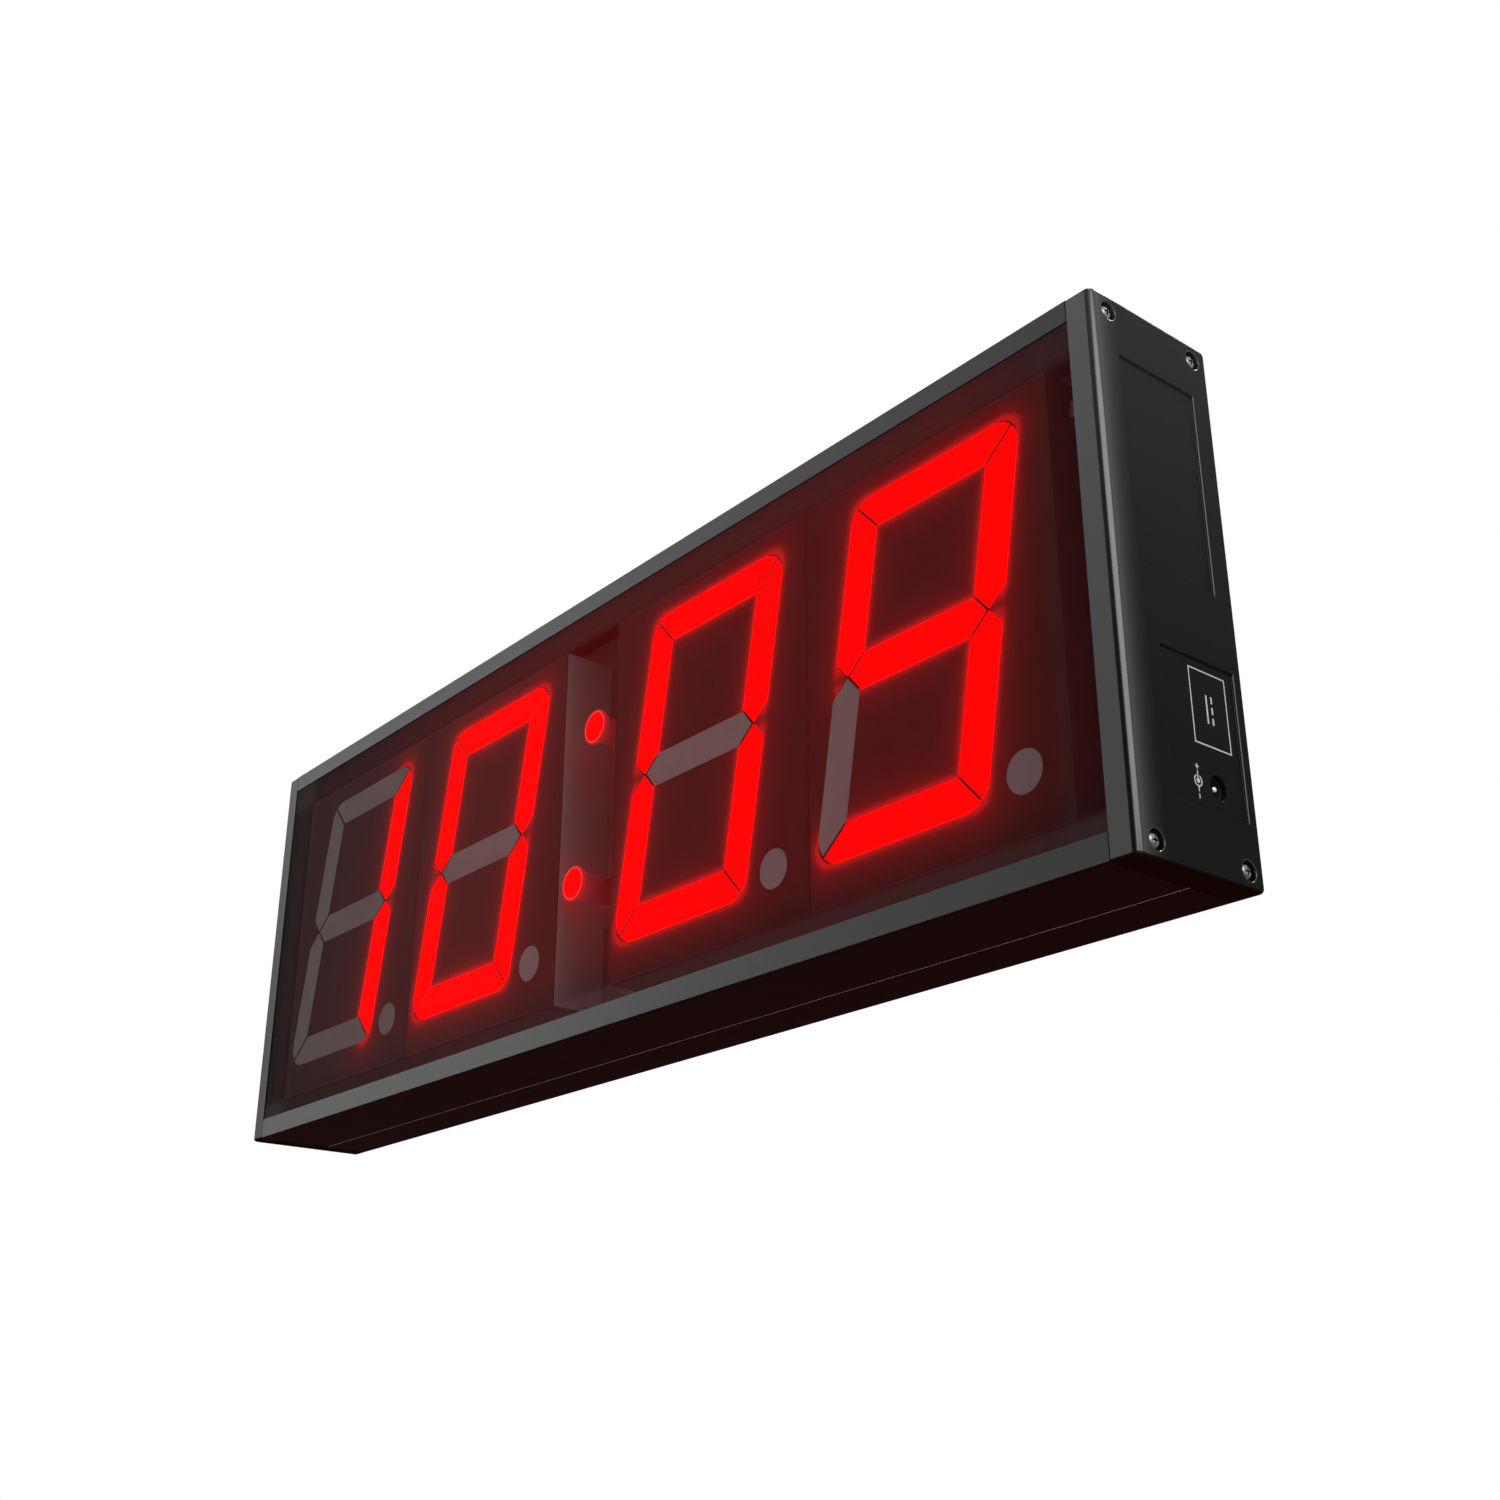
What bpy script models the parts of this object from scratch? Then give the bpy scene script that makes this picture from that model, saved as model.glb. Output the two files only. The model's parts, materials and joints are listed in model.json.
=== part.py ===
"""Gym timer: a four-digit LED interval clock in a railed aluminium case.

Metres, +Z up. The display faces -Y and +X is to the right. The origin lies under the
middle of the case, on the surface that it stands on. Two rails hold the window and the
display board in grooves, a channel closes the back, and an end cap with four screws
closes each end.
"""
import math

import bmesh
import bpy
from mathutils import Matrix, Vector

# Clearances
GAP = 0.0003                 # between pieces that touch
HOLE_PLAY = 0.0003           # round a screw, pin or lens in its hole
CUT_OVER = 0.002             # how far a cutter reaches past the face that it opens

# Digits, as seen from the front
DIGIT_HEIGHT = 0.1256
DIGIT_WIDTH = 0.0762
DIGIT_SLANT = math.radians(10.2)
DIGIT_CORNER = 0.0100
STROKE_SIDE = 0.0131         # width of the upright segments
STROKE_END = 0.0124          # height of the top and bottom segments
STROKE_MIDDLE = 0.0127
MITRE_GAP = 0.0011           # from one segment to the next
DOT_RADIUS = 0.00705
DOT_SPACE = 0.00815          # from the foot of the digit to its decimal point
DOT_RISE = 0.0063            # height of the point's centre over the digit's foot
DIGITS_LIT = ("bc", "abcdef", "abcdef", "abcdfg")

# Digit modules
MODULE_LEFT = 0.00265        # margins round the digit
MODULE_RIGHT = 0.0109
MODULE_BOTTOM = 0.0141
MODULE_TOP = 0.0087
MODULE_DEPTH = 0.0224
FACE_PLATE = 0.0020
REFLECTOR_WALL = 0.0012
MODULE_WALL = 0.0016

# Colon
COLON_CHANNEL = 0.0354       # between the two pairs of modules
COLON_HEAD_RADIUS = 0.0072
COLON_HEAD_THICK = 0.0012
COLON_ROD_RADIUS = 0.0055
COLON_SOCKET_WALL = 0.0012
COLON_SOCKET_LENGTH = 0.0060
COLON_PITCH = 0.0621         # height from one lamp to the other
COLON_MIDDLE = (-0.0020, 0.0771)   # across, and up from the modules' foot
COLON_BASE = (0.0260, 0.0880, 0.0020)

# Window and frame
WINDOW_THICK = 0.0020
WINDOW_GRIP = 0.0052         # how deep the window sits in the rails
WINDOW_END_GRIP = 0.0020     # how deep it sits in the end caps
FRAME_LIP = 0.0007           # metal in front of the window
BOTTOM_BAR = 0.0091          # bars as seen from the front
TOP_BAR = 0.0080
MARGIN_SIDE = 0.0129         # from the window's visible edge to the modules
MARGIN_BOTTOM = 0.0075
MARGIN_TOP = 0.0097

# Case
CASE_DEPTH = 0.0558
CASE_WALL = 0.0018
CAP_LENGTH = 0.0097
SEAM_SPACE = 0.0067          # from the display board to the joint of rail and channel
SEAM_CHAMFER = 0.0004
TONGUE_LENGTH = 0.0040       # on each side of the joint
TONGUE_THICK = 0.0015
FRONT_ROUND = 0.0007
REAR_ROUND = 0.0020

# End caps
CAP_PLATE = 0.0025
CAP_WALL = 0.0022
CAP_FRONT_WALL = 0.0050
CAP_FRONT_EDGE = 0.00266
CAP_REAR_EDGE = 0.0010
CAP_END_EDGE = 0.0007
RECESS_DEPTH = 0.0008
UPPER_RECESS = (0.0354, 0.0702)      # across and up
UPPER_RECESS_PLACE = (0.0115, 0.0203)    # from the front and from the top
LOWER_RECESS = (0.0337, 0.0469)
LOWER_RECESS_PLACE = (0.0178, 0.0205)    # from the front and from the bottom

# Screws and their ports
SCREW_FROM_FRONT = 0.0082
SCREW_FROM_BACK = 0.0068
SCREW_FROM_EDGE = 0.0058
SCREW_RADIUS = 0.0015
SCREW_LENGTH = 0.0180
SCREW_TIP = 0.0015           # length of the point
SCREW_TIP_RADIUS = 0.0008
HEAD_RADIUS = 0.0026
HEAD_HEIGHT = 0.0019
HEAD_SIDE = 0.0006
CROSS_LENGTH = 0.0030
CROSS_WIDTH = 0.0006
CROSS_DEPTH = 0.0011
COUNTERBORE_RADIUS = 0.00315
COUNTERBORE_DEPTH = 0.0026
PORT_WALL = 0.0015
PORT_SLIT = 0.0012           # opening along an extruded port

# Boards
BOARD_THICK = 0.0016
BOARD_END_SPACE = 0.0020
BOARD_RIB = 0.0014
BOARD_RIB_HEIGHT = 0.0032
CONTROL_SIZE = (0.0960, 0.0660)
CONTROL_RISE = 0.0130
CONTROL_END_SPACE = 0.0040
STUD_INSET = 0.0060
STUD_RADIUS = 0.0035
STUD_PIN_RADIUS = 0.0013
STUD_PIN_OVER = 0.0015

# Power socket
JACK_FROM_BACK = 0.0161
JACK_RISE = 0.0287
JACK_HOLE_RADIUS = 0.0037
JACK_BORE_RADIUS = 0.0032
JACK_BORE_DEPTH = 0.0095
JACK_BODY = (0.0135, 0.0100, 0.0110)
JACK_PIN_RADIUS = 0.00105
JACK_PIN_CHAMFER = 0.0005
JACK_PIN_SUNK = 0.0032       # tip of the pin behind the floor of the recess
JACK_PIN_ROOT = 0.0025       # how deep the pin stands in the floor of the bore

# Buzzer, infrared receiver and ribbon
BUZZER_RADIUS = 0.0085
BUZZER_HEIGHT = 0.0090
BUZZER_HOLE_RADIUS = 0.0013
BUZZER_HOLE_DEPTH = 0.0045
BUZZER_PLACE = (0.0300, 0.0460)      # on the control board, from its lower left corner
RECEIVER_SIZE = (0.0076, 0.0150, 0.0090)
RECEIVER_LENS_RADIUS = 0.0029
RECEIVER_DROP = 0.0327       # from the top of the case to the middle of the lens
RIBBON_WIDTH = 0.0200
RIBBON_THICK = 0.0010
RIBBON_REACH = 0.0260        # sideways, from one board to the other
RIBBON_PLACE = (0.0110, 0.0330)      # on the control board, from its lower left corner
RIBBON_STEPS = 16

# Hanging slots in the back
KEYHOLE_SPACING = 0.3000
KEYHOLE_DROP = 0.0420        # from the top of the case to the round hole
KEYHOLE_HEAD_RADIUS = 0.0050
KEYHOLE_NECK_WIDTH = 0.0052
KEYHOLE_NECK_LENGTH = 0.0110

# How finely round shapes are divided
CORNER_STEPS = 4
ROUND_STEPS = 20
SCREW_STEPS = 16
LAMP_STEPS = 32
MERGE_DISTANCE = 1e-6
FLAT_ANGLE = math.radians(0.1)       # faces that meet at less are one flat face
SHARP_ANGLE = math.radians(35)       # faces that meet at more keep a sharp edge

# Sizes that follow from the ones above
SLANT_SHIFT = DIGIT_HEIGHT * math.tan(DIGIT_SLANT)
MODULE_PITCH = MODULE_LEFT + DIGIT_WIDTH + SLANT_SHIFT + MODULE_RIGHT
MODULE_HEIGHT = MODULE_BOTTOM + DIGIT_HEIGHT + MODULE_TOP
MODULE_FOOT = BOTTOM_BAR + MARGIN_BOTTOM
CASE_WIDTH = 4 * MODULE_PITCH + COLON_CHANNEL + 2 * MARGIN_SIDE + 2 * CAP_LENGTH
CASE_HEIGHT = MODULE_FOOT + MODULE_HEIGHT + MARGIN_TOP + TOP_BAR
FRONT = -CASE_DEPTH / 2
BACK = CASE_DEPTH / 2
END = CASE_WIDTH / 2
CAP_FACE = END - CAP_LENGTH
WINDOW_FRONT = FRONT + FRAME_LIP + GAP
WINDOW_BACK = WINDOW_FRONT + WINDOW_THICK
WINDOW_BOTTOM = BOTTOM_BAR - WINDOW_GRIP
WINDOW_TOP = CASE_HEIGHT - TOP_BAR + WINDOW_GRIP
MODULE_FACE = WINDOW_BACK + GAP
MODULE_REAR = MODULE_FACE + MODULE_DEPTH
BOARD_FRONT = MODULE_REAR + GAP
BOARD_BACK = BOARD_FRONT + BOARD_THICK
SEAM = BOARD_BACK + SEAM_SPACE
HOLE_RADIUS = SCREW_RADIUS + HOLE_PLAY
PORT_RADIUS = HOLE_RADIUS + PORT_WALL
JACK_Y = BACK - JACK_FROM_BACK
RECESS_FLOOR = END - RECESS_DEPTH
CONTROL_FRONT = JACK_Y + JACK_BODY[1] / 2 + GAP
CONTROL_BACK = CONTROL_FRONT + BOARD_THICK
CONTROL_RIGHT = CAP_FACE - CONTROL_END_SPACE
CONTROL_LEFT = CONTROL_RIGHT - CONTROL_SIZE[0]
SCREW_HEIGHTS = {"lower": SCREW_FROM_EDGE, "upper": CASE_HEIGHT - SCREW_FROM_EDGE}
SCREW_DEPTHS = {"front": FRONT + SCREW_FROM_FRONT, "rear": BACK - SCREW_FROM_BACK}

# Materials: colour, roughness, metallic
FINISHES = {
    "black_anodised": ((0.040, 0.040, 0.043), 0.45, 0.6),
    "black_plastic": ((0.014, 0.014, 0.016), 0.42, 0.0),
    "smoked_acrylic": ((0.060, 0.018, 0.018), 0.08, 0.0),
    "module_plastic": ((0.030, 0.028, 0.028), 0.60, 0.0),
    "segment_unlit": ((0.320, 0.300, 0.300), 0.50, 0.0),
    "segment_lit": ((0.900, 0.010, 0.010), 0.40, 0.0),
    "black_screw": ((0.045, 0.045, 0.048), 0.30, 1.0),
    "steel": ((0.450, 0.450, 0.460), 0.30, 1.0),
    "circuit_board": ((0.012, 0.014, 0.013), 0.45, 0.0),
    "dark_component": ((0.018, 0.018, 0.020), 0.50, 0.0),
    "ribbon_grey": ((0.350, 0.350, 0.370), 0.55, 0.0),
}

AXES = {
    "X": Matrix(((0, 0, 1, 0), (1, 0, 0, 0), (0, 1, 0, 0), (0, 0, 0, 1))),
    "Y": Matrix(((1, 0, 0, 0), (0, 0, -1, 0), (0, 1, 0, 0), (0, 0, 0, 1))),
    "Z": Matrix.Identity(4),
}


def new_collection(name):
    collection = bpy.data.collections.new(name)
    bpy.context.scene.collection.children.link(collection)
    return collection


def make_material(name):
    colour, roughness, metallic = FINISHES[name]
    material = bpy.data.materials.new(name)
    material.use_nodes = True
    shader = material.node_tree.nodes["Principled BSDF"]
    shader.inputs["Base Color"].default_value = (*colour, 1.0)
    shader.inputs["Roughness"].default_value = roughness
    shader.inputs["Metallic"].default_value = metallic
    return material


# Start from an empty scene
for old in list(bpy.data.objects):
    bpy.data.objects.remove(old, do_unlink=True)

PARTS = new_collection("gym_timer")
GUIDES = new_collection("cutters")
MATERIALS = {name: make_material(name) for name in FINISHES}

ROOT = bpy.data.objects.new("gym_timer_origin", None)
PARTS.objects.link(ROOT)


# Helpers for outlines

def arc(centre, radius, start, end, steps):
    """Points on an arc, with both ends, for angles in radians."""
    turns = [start + (end - start) * k / steps for k in range(steps + 1)]
    return [(centre[0] + radius * math.cos(a), centre[1] + radius * math.sin(a)) for a in turns]


def circle(centre, radius, steps):
    return arc(centre, radius, 0.0, math.tau, steps)[:-1]


def rounded(corners):
    """Outline through (x, y, radius) corners, each rounded by a true arc."""
    points = []
    for k, (x, y, radius) in enumerate(corners):
        corner = Vector((x, y))
        if radius <= 0:
            points.append((x, y))
            continue
        before = (Vector(corners[k - 1][:2]) - corner).normalized()
        after = (Vector(corners[(k + 1) % len(corners)][:2]) - corner).normalized()
        half = before.angle(after) / 2
        centre = corner + (before + after).normalized() * radius / math.sin(half)
        start = corner + before * radius / math.tan(half) - centre
        sweep = start.angle_signed(corner + after * radius / math.tan(half) - centre)
        first = math.atan2(start.y, start.x)
        points += arc(centre, radius, first, first - sweep, CORNER_STEPS)
    return points


def rectangle(low, high, radius=0.0):
    return rounded([(low[0], low[1], radius), (high[0], low[1], radius),
                    (high[0], high[1], radius), (low[0], high[1], radius)])


def keep_left(points, start, end, inset):
    """The part of an outline on the left of a line that is moved left by inset."""
    start, end = Vector(start), Vector(end)
    normal = Vector((start.y - end.y, end.x - start.x)).normalized()
    depth = [(Vector(p) - start).dot(normal) - inset for p in points]
    kept = []
    for k, point in enumerate(points):
        previous = points[k - 1]
        if (depth[k] > 0) != (depth[k - 1] > 0):
            share = depth[k - 1] / (depth[k - 1] - depth[k])
            kept.append(tuple(Vector(previous).lerp(Vector(point), share)))
        if depth[k] > 0:
            kept.append(point)
    return kept


# Helpers for solids

def place(solid, name, finish=None, parent=ROOT):
    """Files a finished solid as a part with a finish, or as a guide without one."""
    solid.name = name
    solid.data.name = name
    (PARTS if finish else GUIDES).objects.link(solid)
    if finish:
        solid.data.materials.clear()
        solid.data.materials.append(MATERIALS[finish])
        solid.parent = parent
    else:
        solid.hide_render = True
        solid.display_type = "WIRE"
    return solid


def prism(outline, axis, low, high, name, finish=None):
    """A flat outline drawn out along an axis, from low to high."""
    curve = bpy.data.curves.new(name, "CURVE")
    curve.dimensions = "2D"
    curve.fill_mode = "BOTH"
    curve.extrude = (high - low) / 2
    spline = curve.splines.new("POLY")
    spline.points.add(len(outline) - 1)
    for point, (x, y) in zip(spline.points, outline):
        point.co = (x, y, 0.0, 1.0)
    spline.use_cyclic_u = True
    return smooth(place(solid_from_curve(curve, axis, low, high), name, finish))


def solid_from_curve(curve, axis, low, high):
    drawn = bpy.data.objects.new(curve.name, curve)
    bpy.context.scene.collection.objects.link(drawn)
    bpy.context.view_layer.update()
    mesh = bpy.data.meshes.new_from_object(drawn.evaluated_get(bpy.context.evaluated_depsgraph_get()))
    bpy.data.objects.remove(drawn)
    bpy.data.curves.remove(curve)
    middle = -(low + high) / 2 if axis == "Y" else (low + high) / 2
    mesh.transform(AXES[axis] @ Matrix.Translation((0.0, 0.0, middle)))
    weld(mesh)
    return bpy.data.objects.new(mesh.name, mesh)


def weld(mesh):
    """Joins a drawn solid's caps to its sides, and makes each flat cap one face."""
    shape = bmesh.new()
    shape.from_mesh(mesh)
    bmesh.ops.remove_doubles(shape, verts=shape.verts, dist=MERGE_DISTANCE)
    bmesh.ops.dissolve_limit(shape, angle_limit=FLAT_ANGLE, verts=[], edges=shape.edges)
    bmesh.ops.recalc_face_normals(shape, faces=shape.faces)
    shape.to_mesh(mesh)
    shape.free()


def block(low, high, name, finish=None):
    """An upright box between two corners."""
    mesh = bpy.data.meshes.new(name)
    shape = bmesh.new()
    bmesh.ops.create_cube(shape, size=1.0)
    size = [b - a for a, b in zip(low, high)]
    middle = [(a + b) / 2 for a, b in zip(low, high)]
    bmesh.ops.scale(shape, vec=size, verts=shape.verts)
    bmesh.ops.translate(shape, vec=middle, verts=shape.verts)
    shape.to_mesh(mesh)
    shape.free()
    return place(bpy.data.objects.new(name, mesh), name, finish)


def rod(centre, radius, axis, low, high, name, finish=None, steps=ROUND_STEPS):
    return prism(circle(centre, radius, steps), axis, low, high, name, finish)


def turned(profile, name, finish=None):
    """A solid turned about +X from (along, radius) points, first and last on the axis."""
    mesh = bpy.data.meshes.new(name)
    shape = bmesh.new()
    ring = [shape.verts.new((along, 0.0, radius)) for along, radius in profile]
    edges = [shape.edges.new(pair) for pair in zip(ring, ring[1:])]
    bmesh.ops.spin(shape, geom=ring + edges, cent=(0, 0, 0), axis=(1, 0, 0), angle=math.tau,
                   steps=SCREW_STEPS)
    bmesh.ops.remove_doubles(shape, verts=shape.verts, dist=MERGE_DISTANCE)
    bmesh.ops.recalc_face_normals(shape, faces=shape.faces)
    shape.to_mesh(mesh)
    shape.free()
    return smooth(place(bpy.data.objects.new(name, mesh), name, finish))


def boolean(solid, tool, operation="DIFFERENCE"):
    modifier = solid.modifiers.new(tool.name, "BOOLEAN")
    modifier.operation = operation
    modifier.solver = "EXACT"
    modifier.object = tool
    for shape in (solid, tool):
        shape.data.shade_flat()


def settle(solid):
    """Replaces a solid's mesh by its modified shape, so that copies can share it."""
    bpy.context.view_layer.update()
    mesh = bpy.data.meshes.new_from_object(solid.evaluated_get(bpy.context.evaluated_depsgraph_get()))
    solid.modifiers.clear()
    solid.data = mesh
    return solid


def smooth(solid):
    """Shades the round faces smooth and keeps the corners sharp."""
    solid.data.shade_smooth()
    solid.data.set_sharp_from_angle(angle=SHARP_ANGLE)
    return solid


# Rails and channel, drawn in section as (y, z)

def flipped(outline):
    """The same section turned over for the top of the case."""
    return [(y, CASE_HEIGHT - z) for y, z in reversed(outline)]


def screw_port(y, clockwise):
    """Open bore of a screw port, from one side of its slit round to the other."""
    slit = math.asin(PORT_SLIT / 2 / HOLE_RADIUS)
    start, end = math.pi / 2 + slit, 2.5 * math.pi - slit
    if clockwise:
        start, end = end, start
    top = SCREW_FROM_EDGE + PORT_RADIUS
    bore = arc((y, SCREW_FROM_EDGE), HOLE_RADIUS, start, end, SCREW_STEPS)
    return [(bore[0][0], top)] + bore + [(bore[-1][0], top)]


def rail_section(bar):
    seam = SEAM - GAP / 2
    port_y = FRONT + SCREW_FROM_FRONT
    port_back = port_y + PORT_RADIUS
    port_top = SCREW_FROM_EDGE + PORT_RADIUS
    slot_front = FRONT + FRAME_LIP
    slot_back = WINDOW_BACK + GAP
    slot_floor = bar - WINDOW_GRIP - GAP
    groove_front, groove_back = BOARD_FRONT - GAP, BOARD_BACK + GAP
    rib_top = CASE_WALL + BOARD_RIB_HEIGHT
    front_edge = arc((FRONT + FRONT_ROUND, FRONT_ROUND), FRONT_ROUND, math.pi, 1.5 * math.pi, CORNER_STEPS)
    return front_edge + [
        (seam - SEAM_CHAMFER, 0.0), (seam, SEAM_CHAMFER), (seam, CASE_WALL),
        (groove_back + BOARD_RIB, CASE_WALL), (groove_back + BOARD_RIB, rib_top), (groove_back, rib_top),
        (groove_back, CASE_WALL), (groove_front, CASE_WALL), (groove_front, rib_top),
        (groove_front - BOARD_RIB, rib_top), (groove_front - BOARD_RIB, CASE_WALL),
        (port_back, CASE_WALL), (port_back, port_top)] + screw_port(port_y, True) + [
        (slot_back, port_top), (slot_back, slot_floor), (slot_front, slot_floor),
        (slot_front, bar), (FRONT, bar)]


def channel_half_section():
    """Lower half of the rear channel, from the middle of its outer face to its inner face."""
    seam = SEAM + GAP / 2
    tongue_low = CASE_WALL + GAP
    tongue_high = tongue_low + TONGUE_THICK
    port_y = BACK - SCREW_FROM_BACK
    port_front = port_y - PORT_RADIUS
    port_top = SCREW_FROM_EDGE + PORT_RADIUS
    rear_edge = arc((BACK - REAR_ROUND, REAR_ROUND), REAR_ROUND, 0.0, -0.5 * math.pi, CORNER_STEPS)
    return rear_edge + [
        (seam + SEAM_CHAMFER, 0.0), (seam, SEAM_CHAMFER), (seam, tongue_low),
        (SEAM - TONGUE_LENGTH, tongue_low), (SEAM - TONGUE_LENGTH, tongue_high),
        (SEAM + TONGUE_LENGTH, tongue_high), (SEAM + TONGUE_LENGTH, CASE_WALL), (port_front, CASE_WALL),
        (port_front, port_top)] + screw_port(port_y, False) + [(BACK - CASE_WALL, port_top)]


def make_rails():
    low, high = -CAP_FACE + GAP, CAP_FACE - GAP
    prism(rail_section(BOTTOM_BAR), "X", low, high, "bottom_rail", "black_anodised")
    prism(flipped(rail_section(TOP_BAR)), "X", low, high, "top_rail", "black_anodised")


def make_rear_channel():
    lower = channel_half_section()
    section = lower + flipped(lower)
    channel = prism(section, "X", -CAP_FACE + GAP, CAP_FACE - GAP, "rear_channel", "black_anodised")
    for name, x, z in control_corners():
        boolean(channel, rod((x, z), STUD_RADIUS, "Y", CONTROL_BACK + GAP, BACK - CASE_WALL / 2,
                             f"add_stud_{name}"), "UNION")
        boolean(channel, rod((x, z), STUD_PIN_RADIUS, "Y", CONTROL_FRONT - STUD_PIN_OVER,
                             BACK - CASE_WALL / 2, f"add_pin_{name}"), "UNION")
    for side, name in ((-1, "left"), (1, "right")):
        boolean(channel, keyhole(side * KEYHOLE_SPACING / 2, name))


def keyhole(x, name):
    """Round hole for a screw's head, with a neck upwards for its shank."""
    z = CASE_HEIGHT - KEYHOLE_DROP
    half = KEYHOLE_NECK_WIDTH / 2
    foot = math.asin(half / KEYHOLE_HEAD_RADIUS)
    head = arc((x, z), KEYHOLE_HEAD_RADIUS, math.pi / 2 + foot, 2.5 * math.pi - foot, ROUND_STEPS)
    neck = arc((x, z + KEYHOLE_NECK_LENGTH), half, 0.0, math.pi, CORNER_STEPS * 2)
    return prism(head + neck, "Y", BACK - CASE_WALL - CUT_OVER, BACK + CUT_OVER, f"cut_keyhole_{name}")


# End caps

def cap_block(side, name):
    """Plain cap: three drawn outlines that meet, so that every outer edge is rounded."""
    inner, outer = side * CAP_FACE, side * END
    low, high = min(inner, outer), max(inner, outer)
    profile = rounded([(FRONT, 0.0, FRONT_ROUND), (BACK, 0.0, REAR_ROUND),
                       (BACK, CASE_HEIGHT, REAR_ROUND), (FRONT, CASE_HEIGHT, FRONT_ROUND)])
    plan = rounded([(inner, FRONT, 0.0), (outer, FRONT, CAP_FRONT_EDGE),
                    (outer, BACK, CAP_REAR_EDGE), (inner, BACK, 0.0)])
    front = rounded([(inner, 0.0, 0.0), (outer, 0.0, CAP_END_EDGE),
                     (outer, CASE_HEIGHT, CAP_END_EDGE), (inner, CASE_HEIGHT, 0.0)])
    cap = prism(profile, "X", low, high, f"{name}_end_cap", "black_plastic")
    boolean(cap, prism(plan, "Z", -CUT_OVER, CASE_HEIGHT + CUT_OVER, f"shape_plan_{name}"), "INTERSECT")
    boolean(cap, prism(front, "Y", FRONT - CUT_OVER, BACK + CUT_OVER, f"shape_front_{name}"), "INTERSECT")
    return cap


def span(side, near, far):
    """A range of x on one side of the case, low end first."""
    return tuple(sorted((side * near, side * far)))


def hollow_cap(cap, side, name):
    low, high = span(side, CAP_FACE - CUT_OVER, END - CAP_PLATE)
    pocket = prism(rectangle((FRONT + CAP_FRONT_WALL, CAP_WALL),
                             (BACK - CAP_WALL, CASE_HEIGHT - CAP_WALL), CAP_WALL),
                   "X", low, high, f"cut_pocket_{name}")
    for depth, y in SCREW_DEPTHS.items():
        for height, z in SCREW_HEIGHTS.items():
            boss = rod((y, z), COUNTERBORE_RADIUS + PORT_WALL, "X", low - CUT_OVER, high + CUT_OVER,
                       f"keep_boss_{name}_{depth}_{height}")
            boolean(pocket, boss)
    boolean(cap, pocket)


def drill_cap(cap, side, name):
    for depth, y in SCREW_DEPTHS.items():
        for height, z in SCREW_HEIGHTS.items():
            tag = f"{name}_{depth}_{height}"
            hole = span(side, CAP_FACE - CUT_OVER, END + CUT_OVER)
            wide = span(side, END - COUNTERBORE_DEPTH, END + CUT_OVER)
            boolean(cap, rod((y, z), HOLE_RADIUS, "X", *hole, f"cut_hole_{tag}"))
            boolean(cap, rod((y, z), COUNTERBORE_RADIUS, "X", *wide, f"cut_counterbore_{tag}"))


def recess_cap(cap, side, name):
    low, high = span(side, RECESS_FLOOR, END + CUT_OVER)
    across, up = UPPER_RECESS
    y = FRONT + UPPER_RECESS_PLACE[0]
    z = CASE_HEIGHT - UPPER_RECESS_PLACE[1] - up
    boolean(cap, block((low, y, z), (high, y + across, z + up), f"cut_upper_recess_{name}"))
    across, up = LOWER_RECESS
    y, z = FRONT + LOWER_RECESS_PLACE[0], LOWER_RECESS_PLACE[1]
    boolean(cap, block((low, y, z), (high, y + across, z + up), f"cut_lower_recess_{name}"))


def slot_cap(cap, side, name):
    low, high = span(side, CAP_FACE - CUT_OVER, CAP_FACE + WINDOW_END_GRIP + GAP)
    boolean(cap, block((low, WINDOW_FRONT - GAP, WINDOW_BOTTOM - GAP),
                       (high, WINDOW_BACK + GAP, WINDOW_TOP + GAP), f"cut_window_slot_{name}"))


def make_caps():
    for side, name in ((-1, "left"), (1, "right")):
        cap = cap_block(side, name)
        hollow_cap(cap, side, name)
        recess_cap(cap, side, name)
        slot_cap(cap, side, name)
        drill_cap(cap, side, name)
        if name == "right":
            boolean(cap, rod((JACK_Y, JACK_RISE), JACK_HOLE_RADIUS, "X", CAP_FACE, END + CUT_OVER,
                             "cut_jack_hole"))


# Screws

def make_screws():
    """Pan-head cross screws, turned once about +X and copied to both ends."""
    seat = END - COUNTERBORE_DEPTH + GAP
    crown = arc((HEAD_SIDE, 0.0), 1.0, 0.0, math.pi / 2, CORNER_STEPS)[1:]
    dome = [(HEAD_SIDE + (HEAD_HEIGHT - HEAD_SIDE) * (x - HEAD_SIDE), HEAD_RADIUS * r) for x, r in crown]
    profile = [(HEAD_HEIGHT, 0.0)] + dome + [
        (0.0, HEAD_RADIUS), (0.0, SCREW_RADIUS), (SCREW_TIP - SCREW_LENGTH, SCREW_RADIUS),
        (-SCREW_LENGTH, SCREW_TIP_RADIUS), (-SCREW_LENGTH, 0.0)]
    master = turned(profile, "shape_screw")
    top, floor = HEAD_HEIGHT + CUT_OVER, HEAD_HEIGHT - CROSS_DEPTH
    half, arm = CROSS_WIDTH / 2, CROSS_LENGTH / 2
    boolean(master, block((floor, -arm, -half), (top, arm, half), "cut_cross_flat"))
    boolean(master, block((floor, -half, -arm), (top, half, arm), "cut_cross_upright"))
    settle(master)
    for side, name in ((-1, "left"), (1, "right")):
        for depth, y in SCREW_DEPTHS.items():
            for height, z in SCREW_HEIGHTS.items():
                screw = place(bpy.data.objects.new("screw", master.data.copy()),
                              f"screw_{name}_{depth}_{height}", "black_screw")
                screw.location = (side * seat, y, z)
                screw.rotation_euler = (0.0, 0.0, math.pi if side < 0 else 0.0)
                smooth(screw)


# Digits

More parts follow.
